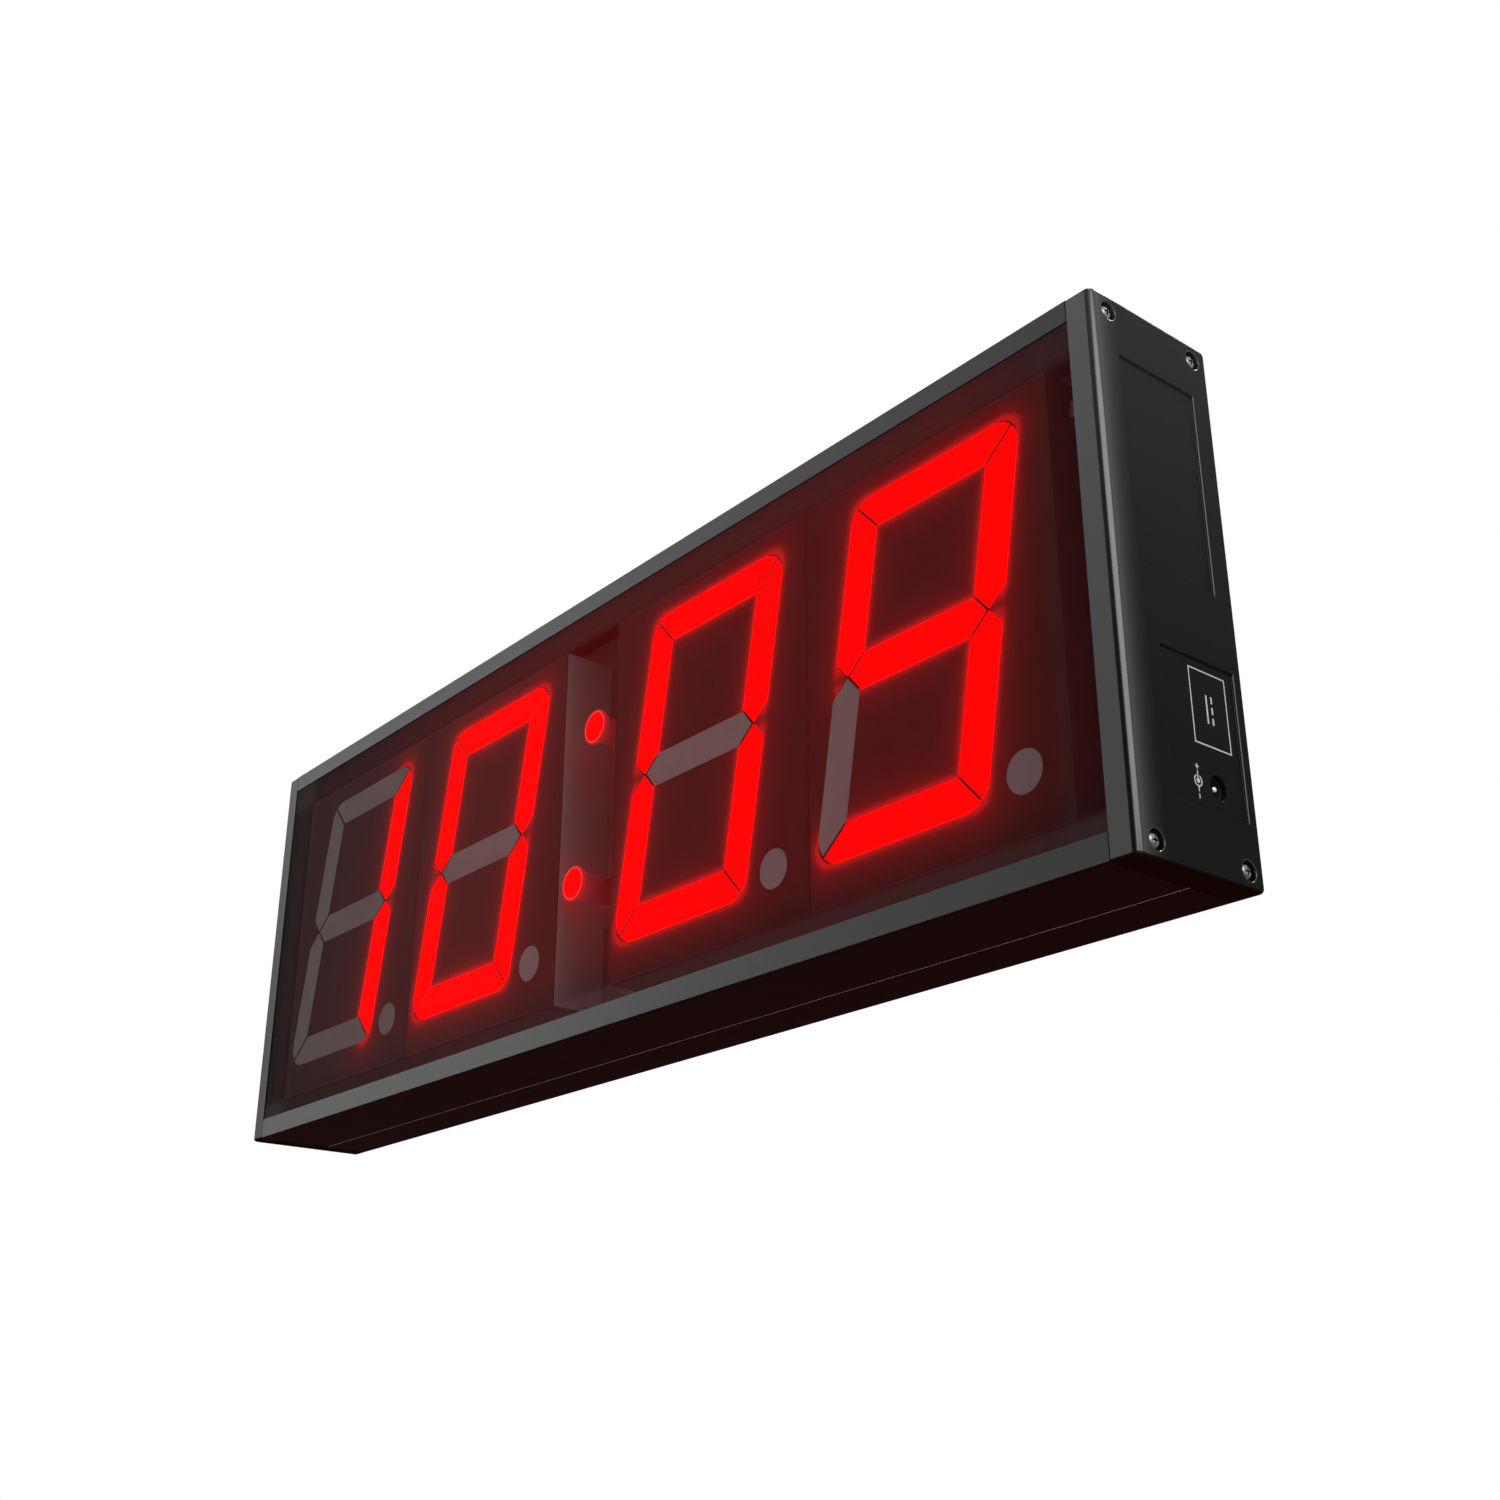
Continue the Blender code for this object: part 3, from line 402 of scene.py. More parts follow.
# The upper and the lower recess: from the front edge, foot, width and height.
RECESSES = ((11.5 * MM, TOP - (20.3 + 70.2) * MM, 35.4 * MM, 70.2 * MM),
            (17.8 * MM, 20.5 * MM, 33.7 * MM, 46.9 * MM))
RECESS_DEPTH, RECESS_RIM = 0.8 * MM, 0.4 * MM
print("screw places:", *SCREW_PLACES)

# %% Polished corner and rims
HAIR = 0.05 * MM
CORNER_START, CORNER_FULL, CORNER_FADE = 0.50, 0.62, 4.0 * MM
DULL, CORNER_SHINE, HOLE_SHINE = 0.045, 0.55, 0.6


def rim_of(distance, width):
    """1 on a strip just outside a border, by the distance from the border."""
    return (distance > -HAIR) * (distance < width)


def polished(x, y, z):
    """Where the plastic is glossier: the front corner, and the rims of the recesses and holes."""
    outward = (abs(x) - (END - EDGE_RADIUS)) / EDGE_RADIUS
    behind = (y - (FRONT + EDGE_RADIUS)).at_least(0.0)
    corner = outward.ramp(CORNER_START, CORNER_FULL) * behind.fading(CORNER_FADE)
    polish = (corner * CORNER_SHINE).at_least(DULL)
    for from_front, foot, across, up in RECESSES:
        off_y = y - (FRONT + from_front + across / 2)
        off_z = z - (foot + up / 2)
        border = (abs(off_y) - across / 2).at_least(abs(off_z) - up / 2)
        rear_side = off_y > across / 2 - HAIR
        polish = polish.at_least(rim_of(border, RECESS_RIM) * (0.05 + rear_side * 0.35))
    for hole_y, hole_z in SCREW_PLACES.values():
        past_bore = reach(y - hole_y, z - hole_z) - BORE_RADIUS
        polish = polish.at_least(rim_of(past_bore, BORE_RIM) * HOLE_SHINE)
    return polish * (outward > CORNER_START) + (y < FRONT + HAIR) * ((x < 0.0) * 0.03 + 0.09)


# %% Moulded plastic
# How high the caps' painted red light from the digits reaches on the underside.
UNDER_START, UNDER_FULL = 1.1 * MM, 0.3 * MM


def moulded():
    finish = Finish("black moulded plastic", Specular_IOR_Level=0.0, Coat_IOR=1.8, Coat_Roughness=0.12)
    point, (x, y, z) = finish.place()
    grain = finish.noise(point, 2600.0, roughness=0.6)
    cloud = finish.noise(point, 22.0, detail=4.0)
    under = z.ramp(UNDER_START, UNDER_FULL)
    # Painted light from above: the sides are painted paler towards the top, with a faint cloud of tone.
    painted_top_light_and_cloud = (z / TOP) ** 2.0 * 0.85 + cloud * 0.15
    black = finish.blend(painted_top_light_and_cloud, (0.0060, 0.0052, 0.0056), (0.0320, 0.0300, 0.0320))
    # Painted red light: the underside is painted dark red for the digits' glow that falls on it.
    finish.set("Base Color", finish.blend(under, black, (0.0085, 0.0012, 0.0012)))
    finish.set("Roughness", 0.20 + grain * 0.08 + cloud * 0.04)
    finish.set("Coat Weight", polished(x, y, z) * (1.0 - under * 0.97))
    finish.bump(grain, 0.006 * MM)
    return finish.material


MOULDED = moulded()
print("finish:", MOULDED.name)

# %% [markdown]
# ## The smoked window
# One sheet of red-brown acrylic. It dims what lies behind it. The smoke in it scatters some of the
# digits' red light, and that is painted on the sheet as a red glow, most in the middle and least at
# the ends, so this haze is a ramp along x.
# The sheet also mirrors the bright room, more towards its left end. Real gloss could do that, but
# it would lie on the lit strokes too and turn them pink. So this veil is painted on the dark
# parts behind the window, and on the window itself only along its edges.

# %% The veil
NO_LIGHT, VEIL = (0.0, 0.0, 0.0), (0.20, 0.185, 0.19)
VEIL_THIN, VEIL_THICK = 90.0 * MM, -110.0 * MM


def veil(x):
    """How much of the bright room the window mirrors: more on the left."""
    return x.ramp(VEIL_THIN, VEIL_THICK) * 0.145 + 0.045


def mirrored(finish, x, where=1.0):
    """The veil's colour, for a dark part behind the window."""
    return finish.blend(veil(x) * where * 0.42, NO_LIGHT, VEIL)


# %% Smoked acrylic
# The painted red glow of the smoke: the digits' scattered light, as emission on the sheet.
HAZE = (0.092, 0.0004, 0.0007)
HAZE_ALONG = ((0.0, 0.0), (0.06, 0.2), (0.22, 0.55), (0.34, 1.0), (0.90, 1.0), (0.96, 0.55), (1.0, 0.2))
# Where the haze thins out towards the foot and the head, and where the edges catch the veil.
LOW_MARGIN, HIGH_MARGIN = (30.0 * MM, 18.0 * MM), (166.0 * MM, 174.0 * MM)
LOW_EDGE, HIGH_EDGE, SIDE_EDGE = (16.5 * MM, 14.5 * MM), (162.5 * MM, 164.5 * MM), (236.0 * MM, 242.0 * MM)


def smoked():
    finish = Finish("smoked acrylic", Base_Color=(0.010, 0.003, 0.003), Alpha=0.35,
                    Specular_IOR_Level=0.0004, Emission_Strength=1.0)
    point, (x, _, z) = finish.place()
    finish.set("Roughness", 0.10 + finish.noise(point, 30.0) * 0.06)
    stops = [(place, [channel * share for channel in HAZE]) for place, share in HAZE_ALONG]
    along = finish.node("ValToRGB", {"stops": stops}, {"Fac": x / (2 * CAP_FACE) + 0.5})
    clear = 1.0 - z.ramp(*LOW_MARGIN) * 0.45 - z.ramp(*HIGH_MARGIN) * 0.15
    low_or_high = z.ramp(*LOW_EDGE).at_least(z.ramp(*HIGH_EDGE) * 0.85)
    edge = low_or_high * 0.10 + abs(x).ramp(*SIDE_EDGE) * veil(x) * 0.5
    finish.set("Emission Color", finish.blend(edge, finish.blend(clear, NO_LIGHT, along), VEIL))
    return finish.material


SMOKED = smoked()
print("finish:", SMOKED.name)

# %% [markdown]
# ## Digit faces
# A module's front is printed black. Its side walls are bare pale plastic in the gap at the colon
# and black elsewhere. The pale walls are painted darker towards the back as painted shade deep in
# the gap, and the colon's red light is painted on them as a glow. The lit segments light up the
# smoke of the window near them. That halo is painted on the face: the shader measures how far a
# point is from the nearest lit stroke. Lamps could make it too, but a painted halo stays free of
# noise and keeps its width.

# %% The drawing of a digit
DIGIT_WIDTH, DIGIT_HEIGHT = 76.2 * MM, 125.6 * MM
SLANT = math.radians(10.2)
CORNER = 10.0 * MM
SIDE, END_STROKE, MIDDLE_STROKE = 13.1 * MM, 12.4 * MM, 12.7 * MM
MITRE = 1.1 * MM
MARGIN_LEFT, MARGIN_BOTTOM = 2.65 * MM, 14.1 * MM
SIDE_GAP = 0.15 * MM


def lean(across, up, number):
    """A point of the upright digit, in its slanted place on the timer, as x and z."""
    low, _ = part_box(f"digit_{number}_housing")
    return low.x - SIDE_GAP + MARGIN_LEFT + across + up * math.tan(SLANT), low.z + MARGIN_BOTTOM + up


def stroke_lines():
    """Middle line of each segment in the upright digit, from end to end."""
    left, right = SIDE / 2, DIGIT_WIDTH - SIDE / 2
    foot, head, middle = END_STROKE / 2, DIGIT_HEIGHT - END_STROKE / 2, DIGIT_HEIGHT / 2
    return {"a": ((left, head), (right, head)), "b": ((right, middle), (right, head)),
            "c": ((right, foot), (right, middle)), "d": ((left, foot), (right, foot)),
            "e": ((left, foot), (left, middle)), "f": ((left, middle), (left, head)),
            "g": ((left, middle), (right, middle))}


print("the first digit's foot starts at x", round(lean(0.0, 0.0, 1)[0] / MM, 2), "mm")


# %% Glow from the lit strokes
HALF_STROKE, WAIST_NOTCH = 6.3 * MM, 6.0 * MM
CLOSE_GLOW, CLOSE_FADE = 1.5, 1.05 * MM
WIDE_GLOW, WIDE_FADE = 0.24, 6.0 * MM
COLON_FADE = 7.0 * MM


def distance_to_line(x, z, start, end):
    """How far a point is from a line between two points."""
    run, rise = end[0] - start[0], end[1] - start[1]
    from_x, from_z = x - start[0], z - start[1]
    share = ((from_x * run + from_z * rise) / (run * run + rise * rise)).between_0_and_1()
    return reach(from_x - share * run, from_z - share * rise)


def off_outline(x, z, number):
    """1 past the digit's rounded corners and in the notches of its waist."""
    foot = lean(0.0, 0.0, number)
    up = z - foot[1]
    across = abs(x - foot[0] - up * math.tan(SLANT) - DIGIT_WIDTH / 2)
    up = abs(up - DIGIT_HEIGHT / 2)
    off_x = (across - (DIGIT_WIDTH / 2 - CORNER)).at_least(0.0)
    off_z = (up - (DIGIT_HEIGHT / 2 - CORNER)).at_least(0.0)
    notch = up - across < WAIST_NOTCH - DIGIT_WIDTH / 2
    return notch.at_least(reach(off_x, off_z) > CORNER - 0.1 * MM)


def lit_glow(x, z, number):
    """The red halo's strength, a bright rim and a wide faint one, and 1 in the lit strokes' mitres."""
    lines = [[lean(*end, number) for end in stroke_lines()[letter]] for letter in LIT[number]]
    nearest = reduce(Wire.at_most, [distance_to_line(x, z, *line) for line in lines])
    beyond = (nearest - HALF_STROKE).at_least(0.0)
    mitre = (nearest < HALF_STROKE - 0.3 * MM) * (1.0 - off_outline(x, z, number))
    from_waist = abs(z - lean(0.0, DIGIT_HEIGHT / 2, number)[1])
    waist = (from_waist / WAIST_NOTCH).at_most(1.0)
    halo = beyond.fading(CLOSE_FADE) * waist * CLOSE_GLOW + beyond.fading(WIDE_FADE) * WIDE_GLOW
    return halo * (1.0 - mitre * 0.97), mitre


def colon_glow(x, z):
    """Strength of the red light that the colon's rods throw on what stands round them."""
    middles = [middle_of(f"colon_lens_{place}") for place in ("lower", "upper")]
    return sum(reach(z - middle.z, (x - middle.x) * 0.5).fading(COLON_FADE) for middle in middles)


# %% Printed faces and light guides
GLOW_RED = (1.0, 0.01, 0.01)
COLON_CHANNEL = 2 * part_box("digit_3_housing")[0].x
PRINT_DEPTH, CHANNEL_SPARE = 0.5 * MM, 0.6 * MM
# Where the painted shade on the unlit guides begins and where it is full, going left.
LEFT_SHADE_START, LEFT_SHADE_FULL = 20.0 * MM, -180.0 * MM


def digit_face(number):
    finish = Finish(f"printed digit face {number}", Specular_IOR_Level=0.02, Emission_Strength=1.0)
    point, (x, y, z) = finish.place()
    grain = finish.noise(point, 1400.0, detail=2.0)
    printed = y < FACE + PRINT_DEPTH
    bare = (1.0 - printed) * (abs(x) < COLON_CHANNEL / 2 + CHANNEL_SPARE)
    depth = y.ramp(FACE, REAR)
    # Painted shade: the pale walls are painted darker towards the back, deep in the gap.
    pale = finish.blend(depth ** 0.6, (0.51, 0.49, 0.49), (0.03, 0.028, 0.028))
    black = finish.blend(grain, (0.007, 0.0055, 0.0055), (0.025, 0.0205, 0.0205))
    finish.set("Base Color", finish.blend(bare, black, pale))
    finish.set("Roughness", 0.55 + grain * 0.2)
    glow, mitre = lit_glow(x, z, number)
    strength = glow * printed * (0.8 + grain * 0.4) + colon_glow(x, z) * bare * 0.2
    dark = mirrored(finish, x, (printed + bare * (depth * 2.0 + 1.0)) * (1.0 - mitre))
    finish.set("Emission Color", finish.blend(strength, dark, GLOW_RED))
    finish.bump(grain, 0.004 * MM)
    return finish.material


def guide_unlit():
    finish = Finish("unlit light guide", Specular_IOR_Level=0.01)
    point, (x, _, _) = finish.place()
    cloud = finish.noise(point, 160.0)
    pale = finish.blend(cloud, (0.29, 0.28, 0.28), (0.35, 0.34, 0.34))
    # Painted shade: the unlit guides are painted darker towards the left, where the lamps light them more.
    painted_left_shade = x.ramp(LEFT_SHADE_START, LEFT_SHADE_FULL) * 0.3
    finish.set("Base Color", finish.blend(painted_left_shade, pale, NO_LIGHT))
    finish.set("Roughness", 0.42 + cloud * 0.15)
    return finish.material


def guide_lit():
    finish = Finish("lit light guide", Specular_IOR_Level=0.0, Emission_Strength=9.0,
                    Base_Color=(0.30, 0.0, 0.0))
    point, _ = finish.place()
    cloud = finish.noise(point, 260.0, detail=2.0)
    finish.set("Emission Color", finish.blend(cloud, (0.92, 0.0, 0.0), (1.0, 0.0, 0.0)))
    finish.set("Roughness", 0.4 + cloud * 0.1)
    return finish.material


GUIDE_LIT = guide_lit()
FACES = {number: digit_face(number) for number in LIT}
GUIDE_UNLIT = guide_unlit()
print("a face's finish has", len(FACES[4].node_tree.nodes), "nodes")

# %% [markdown]
# ## Boards and small parts
# Inside the case sit two dark circuit boards, a sounder, a receiver, a flat cable, the power
# socket and the colon's holder. Little of them shows through the smoke, so they keep the packed
# shapes, and are dressed as a woven board, dull plastic, or the ribs of a flat cable.

# %% Board, part and ribbon finishes
def circuit_board():
    finish = Finish("black solder mask", Specular_IOR_Level=0.3, Emission_Strength=1.0)
    point, (x, _, z) = finish.place()
    weave_x = finish.node("TexWave", {"bands_direction": "X"}, {"Vector": point, "Scale": 180.0})
    weave_z = finish.node("TexWave", {"bands_direction": "Z"}, {"Vector": point, "Scale": 180.0})
    cloud = finish.noise(point, 60.0)
    finish.set("Base Color", finish.blend(cloud, (0.010, 0.013, 0.012), (0.018, 0.023, 0.020)))
    finish.set("Roughness", 0.35 + cloud * 0.15)
    finish.set("Emission Color", finish.blend(colon_glow(x, z) * 0.12, mirrored(finish, x), GLOW_RED))
    finish.bump(weave_x * weave_z, 0.02 * MM)
    return finish.material


def grained(name, scale, dark, pale, rough, vary, relief=0.0, detail=3.0, glow=0.0, **constants):
    """A finish with one fine grain, and if asked a relief, or the colon's glow and the veil."""
    finish = Finish(name, **constants)
    point, (x, _, z) = finish.place()
    grain = finish.noise(point, scale, detail=detail)
    finish.set("Base Color", finish.blend(grain, dark, pale))
    finish.set("Roughness", rough + grain * vary)
    if relief:
        finish.bump(grain, relief)
    if glow:
        finish.set("Emission Color", finish.blend(colon_glow(x, z) * glow, mirrored(finish, x), GLOW_RED))
    return finish.material


def ribbon():
    finish = Finish("grey ribbon cable", Specular_IOR_Level=0.35)
    point, _ = finish.place()
    ribs = finish.node("TexWave", {"bands_direction": "Z"}, {"Vector": point, "Scale": 250.0})
    finish.set("Base Color", finish.blend(ribs, (0.26, 0.26, 0.28), (0.40, 0.40, 0.42)))
    finish.set("Roughness", 0.45 + ribs * 0.1)
    finish.bump(ribs, 0.25 * MM)
    return finish.material


BOARD = circuit_board()
DARK_PART = grained("dark component plastic", 2200.0, (0.014, 0.014, 0.015), (0.024, 0.024, 0.026),
                    0.40, 0.2, 0.015 * MM, Specular_IOR_Level=0.35)
RIBBON = ribbon()
HOLDER = grained("grey colon holder", 1800.0, (0.055, 0.053, 0.053), (0.085, 0.081, 0.081), 0.5, 0.2,
                 glow=0.25, Specular_IOR_Level=0.2, Emission_Strength=1.0)
print("finishes:", ", ".join(finish.name for finish in (BOARD, DARK_PART, RIBBON, HOLDER)))


# %% Dress pieces and nodes
def dress(piece, material):
    """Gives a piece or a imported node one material."""
    piece.data.materials.clear()
    piece.data.materials.append(material)


KEPT = {"display_board": BOARD, "control_board": BOARD, "ribbon_cable": RIBBON, "colon_holder": HOLDER,
        "buzzer": DARK_PART, "ir_receiver": DARK_PART, "dc_jack_body": DARK_PART}
for name, finish in KEPT.items():
    dress(frame["nodes"][name], finish)
print(len(KEPT), "packed nodes keep their shapes")

# %% [markdown]
# ## Rails and channel
# A rail is one length of extruded aluminium, so its section is the same all along it. The packed
# section is exact already. A copy of it is welded, its flat faces are joined up, and its corners
# get the small rounding that an extrusion die leaves.

# %% Make the case's three extrusions
DIE_RADIUS = 0.15 * MM
for name in ("bottom_rail", "top_rail", "rear_channel"):
    piece = twin(frame["nodes"][name], name + "_extrusion")
    piece.parent = None
    piece.hide_render = piece.hide_viewport = False
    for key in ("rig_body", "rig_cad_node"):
        del piece[key]
    pick(piece, "VERT", lambda vertex: True)
    bpy.ops.mesh.remove_doubles(threshold=0.001 * MM)
    bpy.ops.mesh.dissolve_limited(angle_limit=math.radians(0.2))
    alone(piece)
    apply_modifier(piece, "BEVEL", width=DIE_RADIUS, segments=2, limit_method="ANGLE",
                   angle_limit=math.radians(50), use_clamp_overlap=True)
    dress(smooth(piece), ALUMINIUM)
    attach(piece, "root")
    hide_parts(name)
    print(name, len(piece.data.polygons), "faces")

# %% [markdown]
# ## End caps
# A cap is moulded in black plastic. Its front edge has the widest rounding, which carries the
# long highlight of the picture. The cap starts as a cube, its edges are bevelled one radius at a
# time, and holes and recesses are cut by tools whose mouths flare, so every rim comes out soft.

# %% Round the outside of the cap
BACK_RADIUS, RIM_RADIUS = 2.0 * MM, 1.2 * MM


def cap_body():
    cap = block("end_cap", (CAP_FACE, FRONT, 0.0), (END, BACK, TOP))
    round_edges(cap, lambda e: runs_along(e, "X") and at(e, "Y", BACK), BACK_RADIUS, 8)
    round_edges(cap, lambda e: runs_along(e, "Z") and at(e, "X", END) and at(e, "Y", FRONT),
                EDGE_RADIUS, 14)

    def outer_corner(edge):
        inner = all(abs(vertex.co.x - CAP_FACE) < NEAR for vertex in edge.verts)
        return not inner and edge.calc_face_angle() > math.radians(45)

    count = round_edges(cap, outer_corner, RIM_RADIUS, 6)
    print("the cap's outer rim had", count, "edges to round")
    return cap


# %% Tools with flared mouths
CLEAR, TRAY_CORNER, TRAY_FLOOR = 2.0 * MM, 0.6 * MM, 0.2 * MM


def flare(tool, rim, face=END, steps=5):
    """Widens a tool's outer end by a quarter round up to a face, then draws it out past the cap."""
    mouth = face - rim
    corners = [vertex.co for vertex in tool.data.vertices if vertex.co.x > mouth - NEAR]
    low = Vector([min(c[k] for c in corners) for k in range(3)])
    high = Vector([max(c[k] for c in corners) for k in range(3)])
    half_y, half_z = (high.y - low.y) / 2, (high.z - low.z) / 2
    middle = (low + high) / 2
    pick(tool, "FACE", lambda f: f.normal.x > 0.99 and f.calc_center_median().x > mouth - NEAR)
    grown, raised = 0.0, 0.0
    for step in range(1, steps + 1):
        turn = math.pi / 2 * step / steps
        rise, grow = rim * math.sin(turn), rim * (1 - math.cos(turn))
        draw_out(rise - raised)
        bpy.ops.transform.resize(value=(1.0, (half_y + grow) / (half_y + grown),
                                        (half_z + grow) / (half_z + grown)), center_override=middle)
        grown, raised = grow, rise
    draw_out(END + CLEAR - face)
    alone(tool)
    return tool


def bore(y, z, radius, depth, rim, face=END, sides=48):
    """A round tool with a flared mouth in a face."""
    return flare(drum("bore", (0.0, y, z), radius, "X", face - depth, face - rim, sides), rim, face)


def tray(y, z, across, up):
    """The tool for a recess, with soft corners, a soft floor and a flared mouth."""
    tool = block("tray", (END - RECESS_DEPTH, y, z), (END - RECESS_RIM, y + across, z + up))
    round_edges(tool, lambda e: runs_along(e, "X"), TRAY_CORNER, 4)
    round_edges(tool, lambda e: at(e, "X", END - RECESS_DEPTH), TRAY_FLOOR, 3)
    return flare(tool, RECESS_RIM)


# %% Cut the cap
BORE_DEPTH, SHANK_HOLE, BOSS_WALL, SLOT_GAP = 2.6 * MM, 1.8 * MM, 1.5 * MM, 0.3 * MM


def hollow(cap):
    """Cuts the room inside the cap and leaves a boss round every screw."""
    wall, front_wall, plate = 2.2 * MM, 5.0 * MM, 2.5 * MM
    pocket = block("pocket", (CAP_FACE - CLEAR, FRONT + front_wall, wall),
                   (END - plate, BACK - wall, TOP - wall))
    round_edges(pocket, lambda e: runs_along(e, "X"), wall, 4)
    for y, z in SCREW_PLACES.values():
        cut(pocket, drum("boss", (0.0, y, z), BORE_RADIUS + BOSS_WALL, "X", CAP_FACE - 2 * CLEAR, END))
    cut(cap, pocket)


cap = cap_body()
hollow(cap)
low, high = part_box("front_window")
cut(cap, block("slot", (CAP_FACE - CLEAR, low.y - SLOT_GAP, low.z - SLOT_GAP),
               [edge + SLOT_GAP for edge in high]))
for from_front, z, across, up in RECESSES:
    cut(cap, tray(FRONT + from_front, z, across, up))
for y, z in SCREW_PLACES.values():
    cut(cap, drum("hole", (0.0, y, z), SHANK_HOLE, "X", CAP_FACE - CLEAR, END + CLEAR, 32))
    cut(cap, bore(y, z, BORE_RADIUS, BORE_DEPTH, BORE_RIM))
print("the cap has", len(cap.data.polygons), "faces")

# %% Mirror the left cap, and open the right one for the power socket
JACK = middle_of("dc_jack_body").yz
JACK_RADIUS, JACK_DEPTH, JACK_RIM = 3.7 * MM, 3.2 * MM, 0.4 * MM

left_cap = twin(cap, "left_cap_moulding")
alone(left_cap)
left_cap.scale = (-1.0, 1.0, 1.0)
bpy.ops.object.transform_apply()
pick(left_cap, "FACE", lambda face: True)
bpy.ops.mesh.normals_make_consistent(inside=False)
cut(cap, bore(*JACK, JACK_RADIUS, JACK_DEPTH, JACK_RIM, END - RECESS_DEPTH, 64))
cap.name = cap.data.name = "right_cap_moulding"
for side, piece in (("left", left_cap), ("right", cap)):
    dress(smooth(piece), MOULDED)
    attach(piece, "root")
    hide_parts(f"{side}_end_cap")
print("the socket's hole is", round(2 * JACK_RADIUS / MM, 1), "mm wide")

# %% [markdown]
# ## Screws
# The caps are held by cross-head screws with a low dome. One screw is made from a cylinder: its
# head is drawn into a dome ring by ring, its shank is drawn out of the back, and a tapered cross
# is cut. A sphere could give the dome, but rings put their edges just where the curve needs them.

# %% Metal finishes
def metal(name, colour, roughness):
    dark = [channel * 0.82 for channel in colour]
    return grained(name, 1500.0, dark, colour, roughness, 0.12, detail=2.0, Metallic=1.0)


SCREW_METAL = metal("black oxide screw", (0.24, 0.24, 0.25), 0.20)
BRIGHT_METAL = metal("nickel pin", (0.85, 0.84, 0.82), 0.16)
print("finishes:", SCREW_METAL.name, "and", BRIGHT_METAL.name)

# %% Make one screw
HEAD_RADIUS, HEAD_HEIGHT, HEAD_SIDE = 2.6 * MM, 1.9 * MM, 0.6 * MM
SHANK_RADIUS, SHANK_LENGTH, TIP_LENGTH = 1.5 * MM, 16.5 * MM, 1.5 * MM
BLADE_LONG, BLADE_THIN, CROSS_DEPTH = 1.55 * MM, 0.34 * MM, 1.1 * MM
BLADE_TAPER, TIP_TAPER = 0.62, 0.53


def cross_tool(top, depth):
    """Two tapered blades that cross, standing on the screw's axis."""
    blades = []
    for half_y, half_z in ((BLADE_LONG, BLADE_THIN), (BLADE_THIN, BLADE_LONG)):
        blade = block("blade", (top - depth, -half_y, -half_z), (top + 0.6 * MM, half_y, half_z))
        pick(blade, "FACE", lambda face: face.normal.x < -0.99)
        bpy.ops.transform.resize(value=(1.0, BLADE_TAPER, BLADE_TAPER),
                                 center_override=(top - depth, 0.0, 0.0))
        alone(blade)
        blades.append(blade)
    return blades


def make_screw():
    """A dome-headed screw along x, with its head's rim at the origin."""
    screw = drum("screw", (0.0, 0.0, 0.0), HEAD_RADIUS, "X", 0.0, HEAD_SIDE, 48)
    pick(screw, "FACE", lambda face: face.normal.x > 0.99)
    steps, raised, radius = 8, 0.0, HEAD_RADIUS
    for step in range(1, steps):
        turn = math.pi / 2 * step / steps
        rise, ring = (HEAD_HEIGHT - HEAD_SIDE) * math.sin(turn), HEAD_RADIUS * math.cos(turn)
        draw_out(rise - raised)
        narrower = (1.0, ring / radius, ring / radius)
        bpy.ops.transform.resize(value=narrower, center_override=(0.0, 0.0, 0.0))
        raised, radius = rise, ring
    pick(screw, "FACE", lambda face: face.normal.x < -0.99)
    bpy.ops.mesh.inset(thickness=HEAD_RADIUS - SHANK_RADIUS)
    draw_out(-SHANK_LENGTH)
    draw_out(-TIP_LENGTH)
    tip = (-SHANK_LENGTH - TIP_LENGTH, 0.0, 0.0)
    bpy.ops.transform.resize(value=(1.0, TIP_TAPER, TIP_TAPER), center_override=tip)
    cut(screw, *cross_tool(HEAD_HEIGHT, CROSS_DEPTH))
    return smooth(screw, 40)


# %% Put a screw in each of the eight holes
UNDER_HEAD = 0.3 * MM
screw = make_screw()
for place, (y, z) in SCREW_PLACES.items():
    for side, name in ((1, "right"), (-1, "left")):
        node = f"screw_{name}_{place}"
        seat = (side * (END - BORE_DEPTH + UNDER_HEAD), y, z)
        copy = shift(twin(screw, node + "_turned"), seat, 0.0 if side > 0 else math.pi)
        dress(copy, SCREW_METAL)
        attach(copy, "root")
        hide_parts(node)
print("8 screws with", len(screw.data.polygons), "faces each")
bpy.data.objects.remove(screw)

# %% [markdown]
# ## Window
# The sheet is sawn from acrylic and its edges are buffed. It could be a bare plane, but light
# would then find no edge. So it is a cube of the real thickness, and a bevel does the buffing.

# %% Make the window
BUFFED_EDGE = 0.2 * MM
low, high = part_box("front_window")
window = block("smoked_window", low, high)
round_edges(window, lambda e: True, BUFFED_EDGE, 3)
dress(smooth(window), SMOKED)
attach(window, "root")
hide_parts("front_window")
print("the window is", round((high.y - low.y) / MM, 2), "mm thick")

# %% [markdown]
# ## Segments
# All seven segments of a digit are pieces of one slanted slab with round corners. The slab is a
# cube whose top is pushed sideways and whose corners are bevelled. Each segment is a copy of it,
# cut along its own lines, so the mitres between neighbours are equally wide everywhere.

